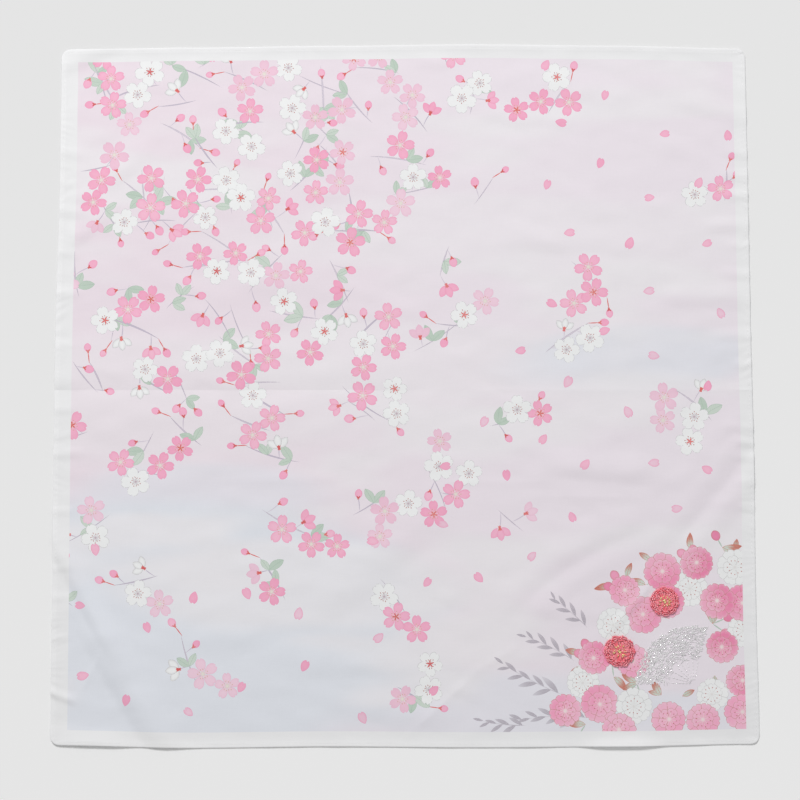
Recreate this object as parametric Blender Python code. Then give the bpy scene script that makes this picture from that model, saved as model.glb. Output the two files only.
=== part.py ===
"""A thin cotton handkerchief, opened out and laid flat with the folds of storage still in it.

Metres, +Z up, +X to the right and +Y away from whoever looks at it. The origin is in the middle of the
cloth's footprint, on the surface that it lies on. The cloth is one closed sheet: a grid drawn flat,
drawn out unevenly at its edges, raised by a short list of folds, then given its thickness upwards, so
that its underside rests on the surface wherever no fold lifts it. The hem is the same sheet, thicker.
"""
import math

import bmesh
import bpy

# Size of the cloth, hemmed
CLOTH_WIDTH = 0.430
CLOTH_LENGTH = 0.4343
CORNER_RADIUS = 0.0058
SHEET_THICKNESS = 0.0012
HEM_THICKNESS = 0.0018
HEM_WIDTH = 0.0030
HEM_STEP = 0.0007

# The folds of storage: the cloth was doubled along this line, which a row of the grid follows
HALF_FOLD_Y = 0.0007

HALF_WIDTH = CLOTH_WIDTH / 2
HALF_LENGTH = CLOTH_LENGTH / 2

# How far each edge strays outwards from a straight line, in millimetres. Place runs from -1 at the left
# or near end of an edge to 1 at its right or far end.
EDGE_DRIFT = (
    # place, far, right, near, left
    (-1.0, -1.2, 0.4, -0.6, -0.3),
    (-0.6, 0.0, -0.3, 1.1, 0.2),
    (-0.2, 1.1, 0.3, 0.2, 1.0),
    (0.2, 2.1, -0.2, 0.8, 1.2),
    (0.6, 1.2, -0.2, 0.2, 0.3),
    (1.0, -0.7, -0.3, -1.3, 0.6),
)
FAR, RIGHT, NEAR, LEFT = 1, 2, 3, 4

# The grid's sections between the hems. Each row is a stretch of one direction and its number of cells.
COLUMN_SECTIONS = (
    # from, to, cells
    (-0.2090, -0.1200, 13),
    (-0.1200, 0.0600, 17),
    (0.0600, 0.2090, 22),
)
ROW_SECTIONS = (
    # from, to, cells
    (-0.2112, HALF_FOLD_Y, 29),
    (HALF_FOLD_Y, 0.2112, 23),
)

# The folds, in millimetres. Each runs from its start to its end, bowed sideways in the middle (to its
# left when positive), and reaches half_width to either side of that line. Lean moves its line to its
# right, which makes that side the steeper one.
# hump: a soft rounded ridge. trough: a soft dip between two raised sides. valley: a pressed crease that
# points down, with raised sides. peak: a pressed crease that points up.
FOLDS = (
    # name, kind, start x, start y, end x, end y, bow, half_width, height, lean
    ("half fold, left", "valley", -330, 0.7, 90, 0.7, 0, 24, 0.6, 0.0),
    ("half fold, right", "peak", -60, 0.7, 330, 0.7, 0, 10, 0.4, 0.0),
    ("quarter fold, left", "peak", -140, -56, -30, -55, 0, 10, 0.35, 0.0),
    ("quarter fold, middle", "peak", 8, -57, 96, -57, 0, 10, 0.35, 0.0),
    ("quarter fold, right", "peak", 66, -65, 160, -67, 0, 10, 0.3, 0.0),
    ("near left corner ridge", "hump", -228, -62, -132, -236, -7, 19, 1.5, 0.3),
    ("near left corner swell", "hump", -208, -186, -150, -212, 4, 14, 0.9, 0.3),
    ("left edge nick", "hump", -222, -181, -196, -191, 0, 9, 0.9, 0.2),
    ("middle slant", "hump", -72, -142, 24, -66, 0, 22, 0.9, 0.2),
    ("long wave", "trough", 52, -150, 158, -82, 10, 26, 0.7, 0.1),
    ("right slant", "trough", 150, -106, 226, -12, -4, 28, 0.9, 0.1),
    ("right slant, upper", "hump", 148, -74, 226, 14, 2, 13, 0.5, 0.2),
    ("side ripple", "hump", 76, -38, 172, -47, -2, 14, 0.9, 0.3),
    ("pinch by the stitching", "hump", 118, -154, 156, -110, 0, 10, 0.6, 0.2),
    ("fine slant, lower", "peak", -4, -216, 50, -167, 0, 10, 0.4, 0.0),
    ("fine slant, upper", "peak", 36, -176, 76, -153, 0, 10, 0.35, 0.0),
    ("low ripple, right", "hump", 56, -126, 134, -137, 0, 12, 0.4, 0.2),
    ("low ripple, middle", "hump", -82, -168, 16, -169, 3, 12, 0.5, 0.2),
    ("low ripple, left", "hump", -138, -153, -80, -152, 0, 11, 0.45, 0.0),
    ("low ripple, near edge", "hump", -40, -190, 44, -196, -2, 11, 0.45, 0.1),
    ("far right wave", "hump", 158, 187, 236, 166, 3, 11, 0.6, 0.2),
    ("far right swell", "hump", 82, 197, 152, 184, 0, 14, 0.5, 0.1),
    ("right hand wave", "hump", 24, 99, 172, 92, 0, 12, 0.4, 0.2),
    ("right hand ripple", "hump", 150, 61, 236, 55, 2, 11, 0.55, 0.2),
    ("far left wave", "hump", -196, 128, -150, 168, 0, 14, 0.6, 0.2),
    ("far left corner", "hump", -226, 200, -172, 224, 3, 10, 0.6, 0.2),
    ("left hand wave", "hump", -218, 88, -176, 122, 0, 10, 0.6, 0.2),
    ("middle swell", "hump", -120, 62, -40, 70, 6, 20, 0.5, 0.1),
    ("near edge lift", "hump", 102, -222, 162, -221, 0, 13, 2.2, 0.0),
)

# The hem gathers the side edges into small folds that run inwards. Side is 1 at the right edge and -1
# at the left, place and reach are in millimetres. The smallest of them are left out.
EDGE_PUCKERS = (
    # side, place, slant, reach, half_width, height
    (1, 147, 4, 22, 9, 0.5),
    (1, 128, 2, 26, 9, 0.6),
    (1, 105, -2, 34, 9, 0.7),
    (1, 71, 3, 24, 9, 0.5),
    (1, 34, 0, 32, 9, 0.6),
    (1, -25, 3, 22, 9, 0.5),
    (1, -44, 4, 20, 9, 0.5),
    (-1, 152, -4, 22, 9, 0.5),
    (-1, 114, -3, 24, 9, 0.5),
    (-1, 61, 0, 24, 9, 0.5),
    (-1, -41, 3, 24, 9, 0.5),
    (-1, -76, 2, 20, 9, 0.4),
)
PUCKER_OVERHANG = 0.7

MM = 0.001
END_SHARE = 0.35
# What makes a trough and a valley 1 high at the top of their sides
TROUGH_TOP = 3125 / 108
VALLEY_TOP = 27 / 4
SHARP_ANGLE = math.radians(40)

COTTON_COLOR = (0.83, 0.76, 0.81, 1.0)
COTTON_ROUGHNESS = 0.86


def smooth_between(low, high, share):
    """Goes from low to high with no kink at either end, as share goes from 0 to 1."""
    return low + (high - low) * share * share * (3 - 2 * share)


def edge_drift(place, column):
    """How far one edge strays outwards at this place along it, in metres."""
    place = max(-1.0, min(1.0, place))
    for before, after in zip(EDGE_DRIFT, EDGE_DRIFT[1:]):
        if place <= after[0]:
            share = (place - before[0]) / (after[0] - before[0])
            return smooth_between(before[column], after[column], share) * MM
    return EDGE_DRIFT[-1][column] * MM


def profile(kind, share):
    """A fold's height across it, from 0 to 1, where share is 0 on its line and 1 at its side."""
    if kind == "hump":
        return math.cos(math.pi * share / 2) ** 2
    if kind == "trough":
        return TROUGH_TOP * share ** 2 * (1 - share) ** 3
    if kind == "valley":
        return VALLEY_TOP * share * (1 - share) ** 2
    return (1 - share) ** 2


def end_fade(along):
    """Fades a fold out over both its ends; along runs from 0 to 1."""
    nearer = min(along, 1 - along)
    if nearer >= END_SHARE:
        return 1.0
    return smooth_between(0.0, 1.0, nearer / END_SHARE)


def fold_height(fold, x, y):
    """What one fold adds to the height at a place on the cloth, in metres."""
    _, kind, start_x, start_y, end_x, end_y, bow, half_width, height, lean = fold
    run_x, run_y = (end_x - start_x) * MM, (end_y - start_y) * MM
    length = math.hypot(run_x, run_y)
    from_x, from_y = x - start_x * MM, y - start_y * MM
    along = (from_x * run_x + from_y * run_y) / length ** 2
    if not 0 < along < 1:
        return 0.0
    across = (from_y * run_x - from_x * run_y) / length
    across -= bow * MM * 4 * along * (1 - along)
    side = across / (half_width * MM)
    if abs(side) >= 1:
        return 0.0
    share = abs(side + lean * (1 - side * side))
    return height * MM * profile(kind, share) * end_fade(along)


def pucker_fold(pucker):
    """An edge pucker as a fold that starts outside the edge, so it is at full height on the hem."""
    side, place, slant, reach, half_width, height = pucker
    edge = HALF_WIDTH / MM
    overhang = reach * PUCKER_OVERHANG
    return ("edge pucker", "hump", side * (edge + overhang), place, side * (edge - reach),
            place + slant, 0, half_width, height, 0.0)


def cloth_height(x, y):
    """The underside's height over the surface, before the edges stray."""
    folds = FOLDS + tuple(pucker_fold(pucker) for pucker in EDGE_PUCKERS)
    return sum(fold_height(fold, x, y) for fold in folds)


def grid_lines(sections, half):
    """The places of the grid's lines in one direction: hem, the sections between, and hem."""
    hem = (half, half - HEM_WIDTH, half - HEM_WIDTH - HEM_STEP)
    lines = [-place for place in hem]
    for low, high, cells in sections:
        lines += [low + (high - low) * cell / cells for cell in range(cells)]
    lines += [sections[-1][1]]
    return lines + [place for place in reversed(hem)]


def round_corner(x, y):
    """Draws the points in each corner square in to a quarter circle."""
    over_x = abs(x) - (HALF_WIDTH - CORNER_RADIUS)
    over_y = abs(y) - (HALF_LENGTH - CORNER_RADIUS)
    if over_x <= 0 or over_y <= 0:
        return x, y
    scale = max(over_x, over_y) / math.hypot(over_x, over_y)
    x = math.copysign(HALF_WIDTH - CORNER_RADIUS + over_x * scale, x)
    y = math.copysign(HALF_LENGTH - CORNER_RADIUS + over_y * scale, y)
    return x, y


def stray(x, y):
    """Moves a point with the unevenness of the edges, most at the edge and not at all in the middle."""
    place_x, place_y = x / HALF_WIDTH, y / HALF_LENGTH
    drift_x = edge_drift(place_y, RIGHT if x > 0 else LEFT) * place_x * abs(place_x)
    drift_y = edge_drift(place_x, FAR if y > 0 else NEAR) * place_y * abs(place_y)
    return x + drift_x, y + drift_y


def cotton_material():
    material = bpy.data.materials.new("cotton")
    material.use_nodes = True
    shader = material.node_tree.nodes["Principled BSDF"]
    shader.inputs["Base Color"].default_value = COTTON_COLOR
    shader.inputs["Roughness"].default_value = COTTON_ROUGHNESS
    shader.inputs["Metallic"].default_value = 0.0
    return material


def cloth_mesh():
    """The underside of the cloth as a grid, and the points that belong to its hem."""
    columns = grid_lines(COLUMN_SECTIONS, HALF_WIDTH)
    rows = grid_lines(ROW_SECTIONS, HALF_LENGTH)
    bm = bmesh.new()
    bmesh.ops.create_grid(bm, x_segments=len(columns) - 1, y_segments=len(rows) - 1, size=1.0)
    hem_points = []
    for vert in bm.verts:
        column = round((vert.co.x + 1) / 2 * (len(columns) - 1))
        row = round((vert.co.y + 1) / 2 * (len(rows) - 1))
        x, y = round_corner(columns[column], rows[row])
        if min(column, len(columns) - 1 - column, row, len(rows) - 1 - row) < 2:
            hem_points.append(vert.index)
        height = cloth_height(x, y)
        vert.co = (*stray(x, y), height)
    middle_x, middle_y = footprint_middle(bm)
    bmesh.ops.translate(bm, verts=bm.verts, vec=(-middle_x, -middle_y, 0))
    mesh = bpy.data.meshes.new("cloth")
    bm.to_mesh(mesh)
    bm.free()
    return mesh, hem_points


def footprint_middle(bm):
    """The middle of the outline's box, which the origin is moved to."""
    xs = [vert.co.x for vert in bm.verts]
    ys = [vert.co.y for vert in bm.verts]
    return (min(xs) + max(xs)) / 2, (min(ys) + max(ys)) / 2


def make_cloth():
    """The handkerchief: a grid given its thickness upwards, more on the hem than inside it."""
    mesh, hem_points = cloth_mesh()
    cloth = bpy.data.objects.new("cloth", mesh)
    bpy.context.collection.objects.link(cloth)
    mesh.materials.append(cotton_material())
    everywhere = list(range(len(mesh.vertices)))
    layers = cloth.vertex_groups.new(name="layers")
    layers.add(everywhere, SHEET_THICKNESS / HEM_THICKNESS, "REPLACE")
    layers.add(hem_points, 1.0, "REPLACE")
    thicken = cloth.modifiers.new("thickness", "SOLIDIFY")
    thicken.thickness = HEM_THICKNESS
    thicken.offset = 1.0
    thicken.use_rim = True
    thicken.vertex_group = layers.name
    mesh.shade_smooth()
    mesh.set_sharp_from_angle(angle=SHARP_ANGLE)
    return cloth


def main():
    for obj in list(bpy.data.objects):
        bpy.data.objects.remove(obj, do_unlink=True)
    make_cloth()


main()
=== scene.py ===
"""A printed cotton handkerchief with an embroidered corner, opened out and laid flat.

The cloth is one thin closed sheet with its hem, its folds and the small puckers that the sewing leaves.
The print is worked out by the cloth's own material: each face of the cloth carries the few motifs that
show in it, and the material draws them from one formula for a ring of petals. The hem's sewing thread
and the embroidery are real threads that lie on the cloth. Flat places on the cloth are in millimetres,
x to the right and y away from the camera, from the middle of the cloth before its edges stray.
"""

import collections
import math

import bpy
import numpy as np
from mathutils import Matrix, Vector


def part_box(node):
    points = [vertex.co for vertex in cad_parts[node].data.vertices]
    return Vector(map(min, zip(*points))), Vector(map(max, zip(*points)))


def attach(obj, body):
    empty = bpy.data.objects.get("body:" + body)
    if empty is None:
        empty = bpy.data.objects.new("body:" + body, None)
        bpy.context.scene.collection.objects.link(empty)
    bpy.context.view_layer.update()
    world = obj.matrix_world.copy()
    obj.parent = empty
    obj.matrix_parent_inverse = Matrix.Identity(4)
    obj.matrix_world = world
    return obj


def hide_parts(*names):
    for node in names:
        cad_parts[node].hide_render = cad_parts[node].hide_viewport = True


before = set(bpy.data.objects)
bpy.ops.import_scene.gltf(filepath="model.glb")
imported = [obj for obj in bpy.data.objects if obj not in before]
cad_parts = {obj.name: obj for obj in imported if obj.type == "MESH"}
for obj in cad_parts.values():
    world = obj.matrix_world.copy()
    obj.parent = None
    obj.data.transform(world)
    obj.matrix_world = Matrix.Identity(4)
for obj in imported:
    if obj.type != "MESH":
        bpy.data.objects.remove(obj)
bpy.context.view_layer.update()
CLOTH_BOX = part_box("cloth")

MM = 0.001

# Size of the cloth, hemmed, and of the piece it was cut from
CLOTH_WIDTH = 430.0
CLOTH_LENGTH = 434.3
HALF_WIDTH = CLOTH_WIDTH / 2
HALF_LENGTH = CLOTH_LENGTH / 2
CORNER_RADIUS = 5.8

# The grid's lines along each edge, and the height of the cloth's two sides there. The hem is turned
# under and sewn down.
HEM_SECTION = (
    # in from the edge, underside, face
    (0.0, 0.26, 0.26),
    (0.12, 0.08, 0.45),
    (0.45, 0.00, 0.52),
    (1.5, 0.00, 0.54),
    (2.0, 0.00, 0.52),
    (2.5, 0.00, 0.54),
    (3.0, 0.00, 0.53),
    (3.25, 0.27, 0.51),
    (4.2, 0.17, 0.43),
    (5.6, 0.06, 0.34),
    (7.6, 0.00, 0.28),
)

# The hem's stitches: how far in they are, how many of the grid's cells each takes, and the dimple at
# each needle hole. Then how high the near and the far hem curl up, and from how far in.
STITCH_LINE = 2.0
CELLS_A_STITCH = 2
DIMPLE_DEPTH, DIMPLE_WIDTH = 0.06, 0.5
HEM_CURL, CURL_REACH = 0.28, 3.6

# The grid's cells along each edge and inside the edges, the cells along the side of a block, and how
# many blocks of the face are split into their cells
EDGE_CELLS = len(HEM_SECTION) - 1
INNER_CELLS = 348
BLOCK = 2
MOST_SPLIT = 3000

# How far each edge strays outwards from a straight line. Place runs from -1 at the left or near end of
# an edge to 1 at its right or far end.
EDGE_DRIFT = (
    # place, far, right, near, left
    (-1.0, -1.2, 0.4, -0.6, -0.3),
    (-0.6, 0.0, -0.3, 1.1, 0.2),
    (-0.2, 1.1, 0.3, 0.2, 1.0),
    (0.2, 2.1, -0.2, 0.8, 1.2),
    (0.6, 1.2, -0.2, 0.2, 0.3),
    (1.0, -0.7, -0.3, -1.3, 0.6),
)
FAR, RIGHT, NEAR, LEFT = 1, 2, 3, 4
OUTLINE_PLACES = 400

# The folds. Each runs from its start to its end, bowed sideways in the middle (to its left when
# positive), and reaches half_width to either side of that line. Lean moves its line to its right, which
# makes that side the steeper one.
# hump: a soft rounded ridge. trough: a soft dip between two raised sides. valley: a pressed crease that
# points down, with raised sides. peak: a pressed crease that points up.
FOLDS = (
    # name, kind, start x, start y, end x, end y, bow, half_width, height, lean
    ("half fold, left", "valley", -330, 0.0, 90, 0.0, 0, 42, 0.60, 0.0),
    ("half fold, right", "peak", -60, 0.0, 330, 0.0, 0, 4.5, 0.12, 0.0),
    ("quarter fold, left", "peak", -140, -56, -30, -55, 0, 6, 0.22, 0.0),
    ("quarter fold, middle", "peak", 8, -57, 96, -57, 0, 6, 0.22, 0.0),
    ("quarter fold, right", "peak", 66, -65, 160, -67, 0, 6, 0.20, 0.0),
    ("near left corner ridge, upper", "hump", -222, -66, -160, -180, -2, 11, 2.0, 0.32),
    ("near left corner ridge, lower", "hump", -194, -122, -128, -228, -3, 19, 2.4, 0.38),
    ("near left corner swell", "hump", -226, -212, -160, -219, 0, 12, 1.0, 0.0),
    ("near left corner crease", "peak", -180, -152, -200, -192, 0, 4, 0.25, 0.0),
    ("left edge nick", "hump", -222, -181, -196, -191, 0, 5, 0.9, 0.3),
    ("middle slant", "hump", -72, -142, 24, -66, 0, 22, 0.9, 0.2),
    ("long wave", "trough", 52, -150, 158, -82, 10, 24, 0.55, 0.1),
    ("right slant", "trough", 150, -106, 226, -12, -4, 26, 0.7, 0.1),
    ("right slant, upper", "hump", 148, -74, 226, 14, 2, 13, 0.5, 0.3),
    ("side ripple", "hump", 76, -38, 172, -47, -2, 14, 0.9, 0.35),
    ("pinch by the stitching", "hump", 118, -154, 156, -110, 0, 6, 0.6, 0.4),
    ("fine slant, lower", "peak", -4, -216, 50, -167, 0, 6, 0.32, 0.0),
    ("fine slant, upper", "peak", 36, -176, 76, -153, 0, 6, 0.25, 0.0),
    ("low ripple, right", "hump", 56, -126, 134, -137, 0, 12, 0.4, 0.2),
    ("low ripple, middle", "hump", -82, -168, 16, -169, 3, 12, 0.5, 0.2),
    ("low ripple, left", "hump", -138, -153, -80, -152, 0, 11, 0.45, 0.0),
    ("low ripple, near edge", "hump", -40, -190, 44, -196, -2, 11, 0.45, 0.1),
    ("far right wave", "hump", 158, 187, 236, 166, 3, 11, 0.6, 0.2),
    ("far right swell", "hump", 82, 197, 152, 184, 0, 14, 0.5, 0.1),
    ("far ripple", "hump", 50, 173, 112, 172, 0, 9, 0.3, 0.2),
    ("right hand wave", "hump", 24, 99, 172, 92, 0, 12, 0.4, 0.2),
    ("right hand ripple", "hump", 150, 61, 236, 55, 2, 11, 0.55, 0.2),
    ("far left wave", "hump", -196, 128, -150, 168, 0, 14, 0.6, 0.2),
    ("far left corner", "hump", -226, 200, -172, 224, 3, 10, 0.6, 0.2),
    ("left hand wave", "hump", -218, 88, -176, 122, 0, 10, 0.6, 0.2),
    ("middle swell", "hump", -120, 62, -40, 70, 6, 20, 0.5, 0.1),
    ("near edge lift", "hump", 102, -222, 162, -221, 0, 12, 2.2, 0.0),
)
FOLD_END_SHARE = 0.35
# What makes a trough and a valley 1 high at the top of their sides
TROUGH_SCALE, VALLEY_SCALE = 28.9, 6.75
# The pressed crease, and how much closer together the grid's lines are drawn within its reach
HALF_FOLD_PLACE = 0.0
CREASE_CROWDING, CREASE_REACH = 0.85, 3.6

# The hem gathers the side edges into small folds that run inwards. Side is 1 at the right edge and -1
# at the left.
EDGE_PUCKERS = (
    # side, place, slant, reach, half_width, height
    (1, 147, 4, 20, 5.5, 0.40),
    (1, 134, 2, 26, 6.5, 0.45),
    (1, 122, 1, 20, 5.0, 0.40),
    (1, 105, -2, 34, 7.0, 0.60),
    (1, 90, 1, 18, 5.0, 0.35),
    (1, 71, 3, 24, 5.5, 0.45),
    (1, 34, 0, 32, 6.0, 0.50),
    (1, 16, 0, 16, 4.5, 0.35),
    (1, -25, 3, 22, 5.0, 0.45),
    (1, -35, 4, 15, 4.0, 0.40),
    (1, -44, 4, 18, 4.5, 0.40),
    (1, -58, 2, 16, 5.0, 0.35),
    (1, -74, 2, 15, 4.0, 0.35),
    (-1, 152, -4, 22, 6.0, 0.40),
    (-1, 131, -1, 16, 4.5, 0.30),
    (-1, 114, -3, 24, 6.0, 0.45),
    (-1, 87, -2, 16, 4.5, 0.30),
    (-1, 61, 0, 24, 5.5, 0.40),
    (-1, 28, 0, 16, 4.5, 0.25),
    (-1, -13, 1, 16, 4.5, 0.30),
    (-1, -29, 2, 16, 4.0, 0.25),
    (-1, -41, 3, 24, 5.0, 0.40),
    (-1, -76, 2, 18, 4.5, 0.30),
    (-1, -111, 2, 15, 4.0, 0.30),
    (-1, -129, 2, 15, 4.0, 0.25),
    (-1, -154, 3, 16, 4.0, 0.30),
)
PUCKER_OVERHANG = 0.7

# The finer gathers that the stitches draw along the side edges. Their spacing wanders and their depth
# changes in waves that run along the edge, shifted one way at the right edge and the other at the left.
GATHER_SPACING, GATHER_DEPTH = 4.4, 0.050
GATHER_WANDER = (
    # share of the spacing, length of the wave for each radian, shift in radians
    (0.9, 13.0, 1),
    (0.5, 7.3, 2),
)
GATHER_DEPTH_CHANGES = (
    # height, length of the wave for each radian, shift in radians
    (0.030, 17.0, 1),
    (0.022, 6.1, 0),
)
GATHER_SLANT, GATHER_SLANT_WAVE = 0.12, 11.0
GATHER_FULL, GATHER_FADE = 4.0, 8.0

# The slight waviness of thin cloth that has been handled, most of it in ripples along x
UNEVENNESS = (
    # waves, least and greatest heading in degrees, least and greatest wavelength, height per wavelength
    (26, 0, 360, 16, 46, 0.00095),
    (18, 62, 118, 9, 24, 0.00100),
)
UNEVENNESS_LIFT = 0.12

# The edges of the printed area, in flat places
PRINT_LEFT, PRINT_RIGHT = -204.8, 207.1
PRINT_NEAR, PRINT_FAR = -208.1, 208.8

# Each face of the cloth carries this many motifs of the print, the topmost first. A row of finders
# across each block looks for the motifs that show in it, or that come this near to it.
LAYERS = 5
FINDERS = 6
PRINT_BLEED = 0.25

# The kinds of motif, in the order that lets the material tell groups of them apart
(PLAIN, PETAL, BLOSSOM, WHITE_BLOSSOM, WHITE_ROSETTE, ROSETTE, RING, WHITE_RING, LOOSE_PETAL, LEAF,
 AUTUMN_LEAF, GREY_LEAF) = range(12)
NOTCH_DEPTH, NOTCH_SLOPE = 1.0, 1.5
HEART_RADIUS = 1.5
BROADER_OUTWARD = 0.055

# Each random layout starts from its own number
(UNEVENNESS_SEED, SPRIG_SEED, PETAL_SEED, GARLAND_SEED, SPRAY_SEED, FAN_SEED) = (11, 9, 8, 3, 14, 21)


def ease(share):
    """Goes from 0 to 1 with no kink at either end."""
    return share * share * (3 - 2 * share)


def dye(red, green, blue):
    """A colour given as it looks on a screen, each part from 0 to 255, as the renderer takes it."""
    parts = np.array((red, green, blue)) / 255
    return tuple(np.where(parts < 0.04045, parts / 12.92, ((parts + 0.055) / 1.055) ** 2.4))


class Numbers:
    """The functions that a formula needs, for arrays of numbers. Finish has the same for sockets."""

    sqrt, sin, cos, arctan2, least, most = np.sqrt, np.sin, np.cos, np.arctan2, np.minimum, np.maximum

    @staticmethod
    def pingpong(value, size):
        return np.abs((value + size) % (2 * size) - size)


# Materials

class Socket:
    """One output of a material's node, with the arithmetic that adds Math nodes."""

    def __init__(self, finish, output):
        self.finish = finish
        self.output = output

    def __add__(self, other):
        return self.finish.math("ADD", self, other)

    def __sub__(self, other):
        return self.finish.math("SUBTRACT", self, other)

    def __mul__(self, other):
        return self.finish.math("MULTIPLY", self, other)

    def __truediv__(self, other):
        return self.finish.math("DIVIDE", self, other)

    def __rsub__(self, other):
        return self.finish.math("SUBTRACT", other, self)

    def __rtruediv__(self, other):
        return self.finish.math("DIVIDE", other, self)

    def __lt__(self, other):
        return self.finish.math("LESS_THAN", self, other)

    def __gt__(self, other):
        return self.finish.math("GREATER_THAN", self, other)

    __radd__ = __add__
    __rmul__ = __mul__


class Finish:
    """A material: a Principled shader and the nodes that feed it."""

    def __init__(self, name, **constants):
        self.material = bpy.data.materials.new(name)
        self.material.use_nodes = True
        self.tree = self.material.node_tree
        self.shader = self.tree.nodes["Principled BSDF"]
        for socket, value in constants.items():
            self.shader.inputs[socket.replace("_", " ")].default_value = value

    def put(self, socket, value):
        if isinstance(value, Socket):
            self.tree.links.new(value.output, socket)
        else:
            socket.default_value = value

    def node(self, kind, settings, sockets, output=0):
        """Adds a node, sets it, then gives its sockets their values or links, and returns one output."""
        node = self.tree.nodes.new(kind)
        for name, value in settings.items():
            setattr(node, name, value)
        for name, value in sockets.items():
            self.put(node.inputs[name], value)
        return Socket(self, node.outputs[output])

    def feed(self, socket, value):
        """Links a value to one of the shader's own sockets."""
        self.put(self.shader.inputs[socket], value)

    def math(self, operation, *values):
        return self.node("ShaderNodeMath", {"operation": operation}, dict(enumerate(values)))

    def sqrt(self, value):
        return self.math("SQRT", value)

    def sin(self, value):
        return self.math("SINE", value)

    def cos(self, value):
        return self.math("COSINE", value)

    def arctan2(self, y, x):
        return self.math("ARCTAN2", y, x)

    def pingpong(self, value, size):
        return self.math("PINGPONG", value, size)

    def least(self, value, other):
        return self.math("MINIMUM", value, other)

    def most(self, value, other):
        return self.math("MAXIMUM", value, other)

    def vector(self, operation, *values):
        return self.node("ShaderNodeVectorMath", {"operation": operation}, dict(enumerate(values)))

    def parts(self, vector):
        """The three parts of a vector, each a socket."""
        first = self.node("ShaderNodeSeparateXYZ", {}, {0: vector})
        outputs = first.output.node.outputs
        return first, Socket(self, outputs[1]), Socket(self, outputs[2])

    def joined(self, x, y, z):
        return self.node("ShaderNodeCombineXYZ", {}, {0: x, 1: y, 2: z})

    def blend(self, share, one, other):
        """A colour or a vector that goes from one to the other."""
        sockets = {0: share, 4: one, 5: other}
        return self.node("ShaderNodeMix", {"data_type": "VECTOR"}, sockets, output=1)

    def rise(self, value, low, high):
        """Goes smoothly from 0 to 1 as value goes from low to high."""
        sockets = {"Value": value, "From Min": low, "From Max": high}
        return self.node("ShaderNodeMapRange", {"interpolation_type": "SMOOTHSTEP"}, sockets)

    def noise(self, place, scale, detail=2.0, roughness=0.5):
        sockets = {"Vector": place, "Scale": scale, "Detail": detail, "Roughness": roughness}
        return self.node("ShaderNodeTexNoise", {"noise_dimensions": "3D"}, sockets)

    def attribute(self, name, output=1):
        """A vector that the piece's mesh carries, or its single value with output 2."""
        return self.node("ShaderNodeAttribute", {"attribute_name": name}, {}, output)

    def scaled(self, vector, share):
        return self.node("ShaderNodeVectorMath", {"operation": "SCALE"}, {0: vector, 3: share})

    def dot(self, vector, other):
        sockets = {0: vector, 1: other}
        return self.node("ShaderNodeVectorMath", {"operation": "DOT_PRODUCT"}, sockets, output=1)

    def bump(self, height, strength, distance):
        sockets = {"Height": height, "Strength": strength, "Distance": distance}
        self.feed("Normal", self.node("ShaderNodeBump", {}, sockets))


# The cloth's form

def fold_profile(kind, share):
    """A fold's height across it, from 0 to 1, where share is 0 on its line and 1 at its side."""
    if kind == "hump":
        return np.cos(np.pi * share / 2) ** 2
    if kind == "trough":
        return TROUGH_SCALE * share ** 2 * (1 - share) ** 3
    if kind == "valley":
        return VALLEY_SCALE * share * (1 - share) ** 2
    return (1 - share) ** 2


def fold_height(fold, x, y):
    """What one fold adds to the height at each place."""
    _, kind, start_x, start_y, end_x, end_y, bow, half_width, height, lean = fold
    run_x, run_y = end_x - start_x, end_y - start_y
    length = math.hypot(run_x, run_y)
    along = ((x - start_x) * run_x + (y - start_y) * run_y) / length ** 2
    along = np.clip(along, 0, 1)
    across = ((y - start_y) * run_x - (x - start_x) * run_y) / length
    across = across - bow * 4 * along * (1 - along)
    side = np.clip(across / half_width, -1, 1)
    share = np.abs(side + lean * (1 - side * side))
    fade = ease(np.minimum(np.minimum(along, 1 - along) / FOLD_END_SHARE, 1))
    return height * fold_profile(kind, share) * fade


def pucker_fold(pucker):
    """An edge pucker as a fold that starts outside the edge, so it is at full height on the hem."""
    side, place, slant, reach, half_width, height = pucker
    start = side * (HALF_WIDTH + reach * PUCKER_OVERHANG)
    end = side * (HALF_WIDTH - reach)
    return ("edge pucker", "hump", start, place, end, place + slant, 0, half_width, height, 0)


def unevenness(x, y):
    """The cloth's waviness, which is cut off at the height of the table."""
    random = np.random.default_rng(UNEVENNESS_SEED)
    height = 0.0
    for waves, least, greatest, shortest, longest, steepness in UNEVENNESS:
        for _ in range(waves):
            heading = math.radians(random.uniform(least, greatest))
            phase = random.uniform(0, 2 * np.pi)
            wavelength = random.uniform(shortest, longest)
            run = (x * np.cos(heading) + y * np.sin(heading)) / wavelength
            height = height + steepness * wavelength * np.sin(2 * np.pi * run + phase)
    return np.maximum(height + UNEVENNESS_LIFT, 0)


def swings(y, side, rows):
    return sum(size * np.sin(y / wave + shift * side) for size, wave, shift in rows)


def hem_gathers(x, y):
    """The small irregular gathers of the two side hems, which fade out inwards."""
    inset = HALF_WIDTH - np.abs(x)
    side = np.sign(x)
    run = y / GATHER_SPACING + swings(y, side, GATHER_WANDER)
    depth = GATHER_DEPTH + swings(y, side, GATHER_DEPTH_CHANGES)
    slant = inset * GATHER_SLANT * np.sin(y / GATHER_SLANT_WAVE)
    fade = 1 - ease(np.clip((inset - GATHER_FULL) / GATHER_FADE, 0, 1))
    return depth * (1 + np.sin(2 * np.pi * (run + slant))) * fade


def hem_curl(y):
    """How far the near and the far hem curl up towards their outer edge."""
    inset = HALF_LENGTH - np.abs(y)
    return HEM_CURL * np.clip(1 - inset / CURL_REACH, 0, 1)


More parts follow.
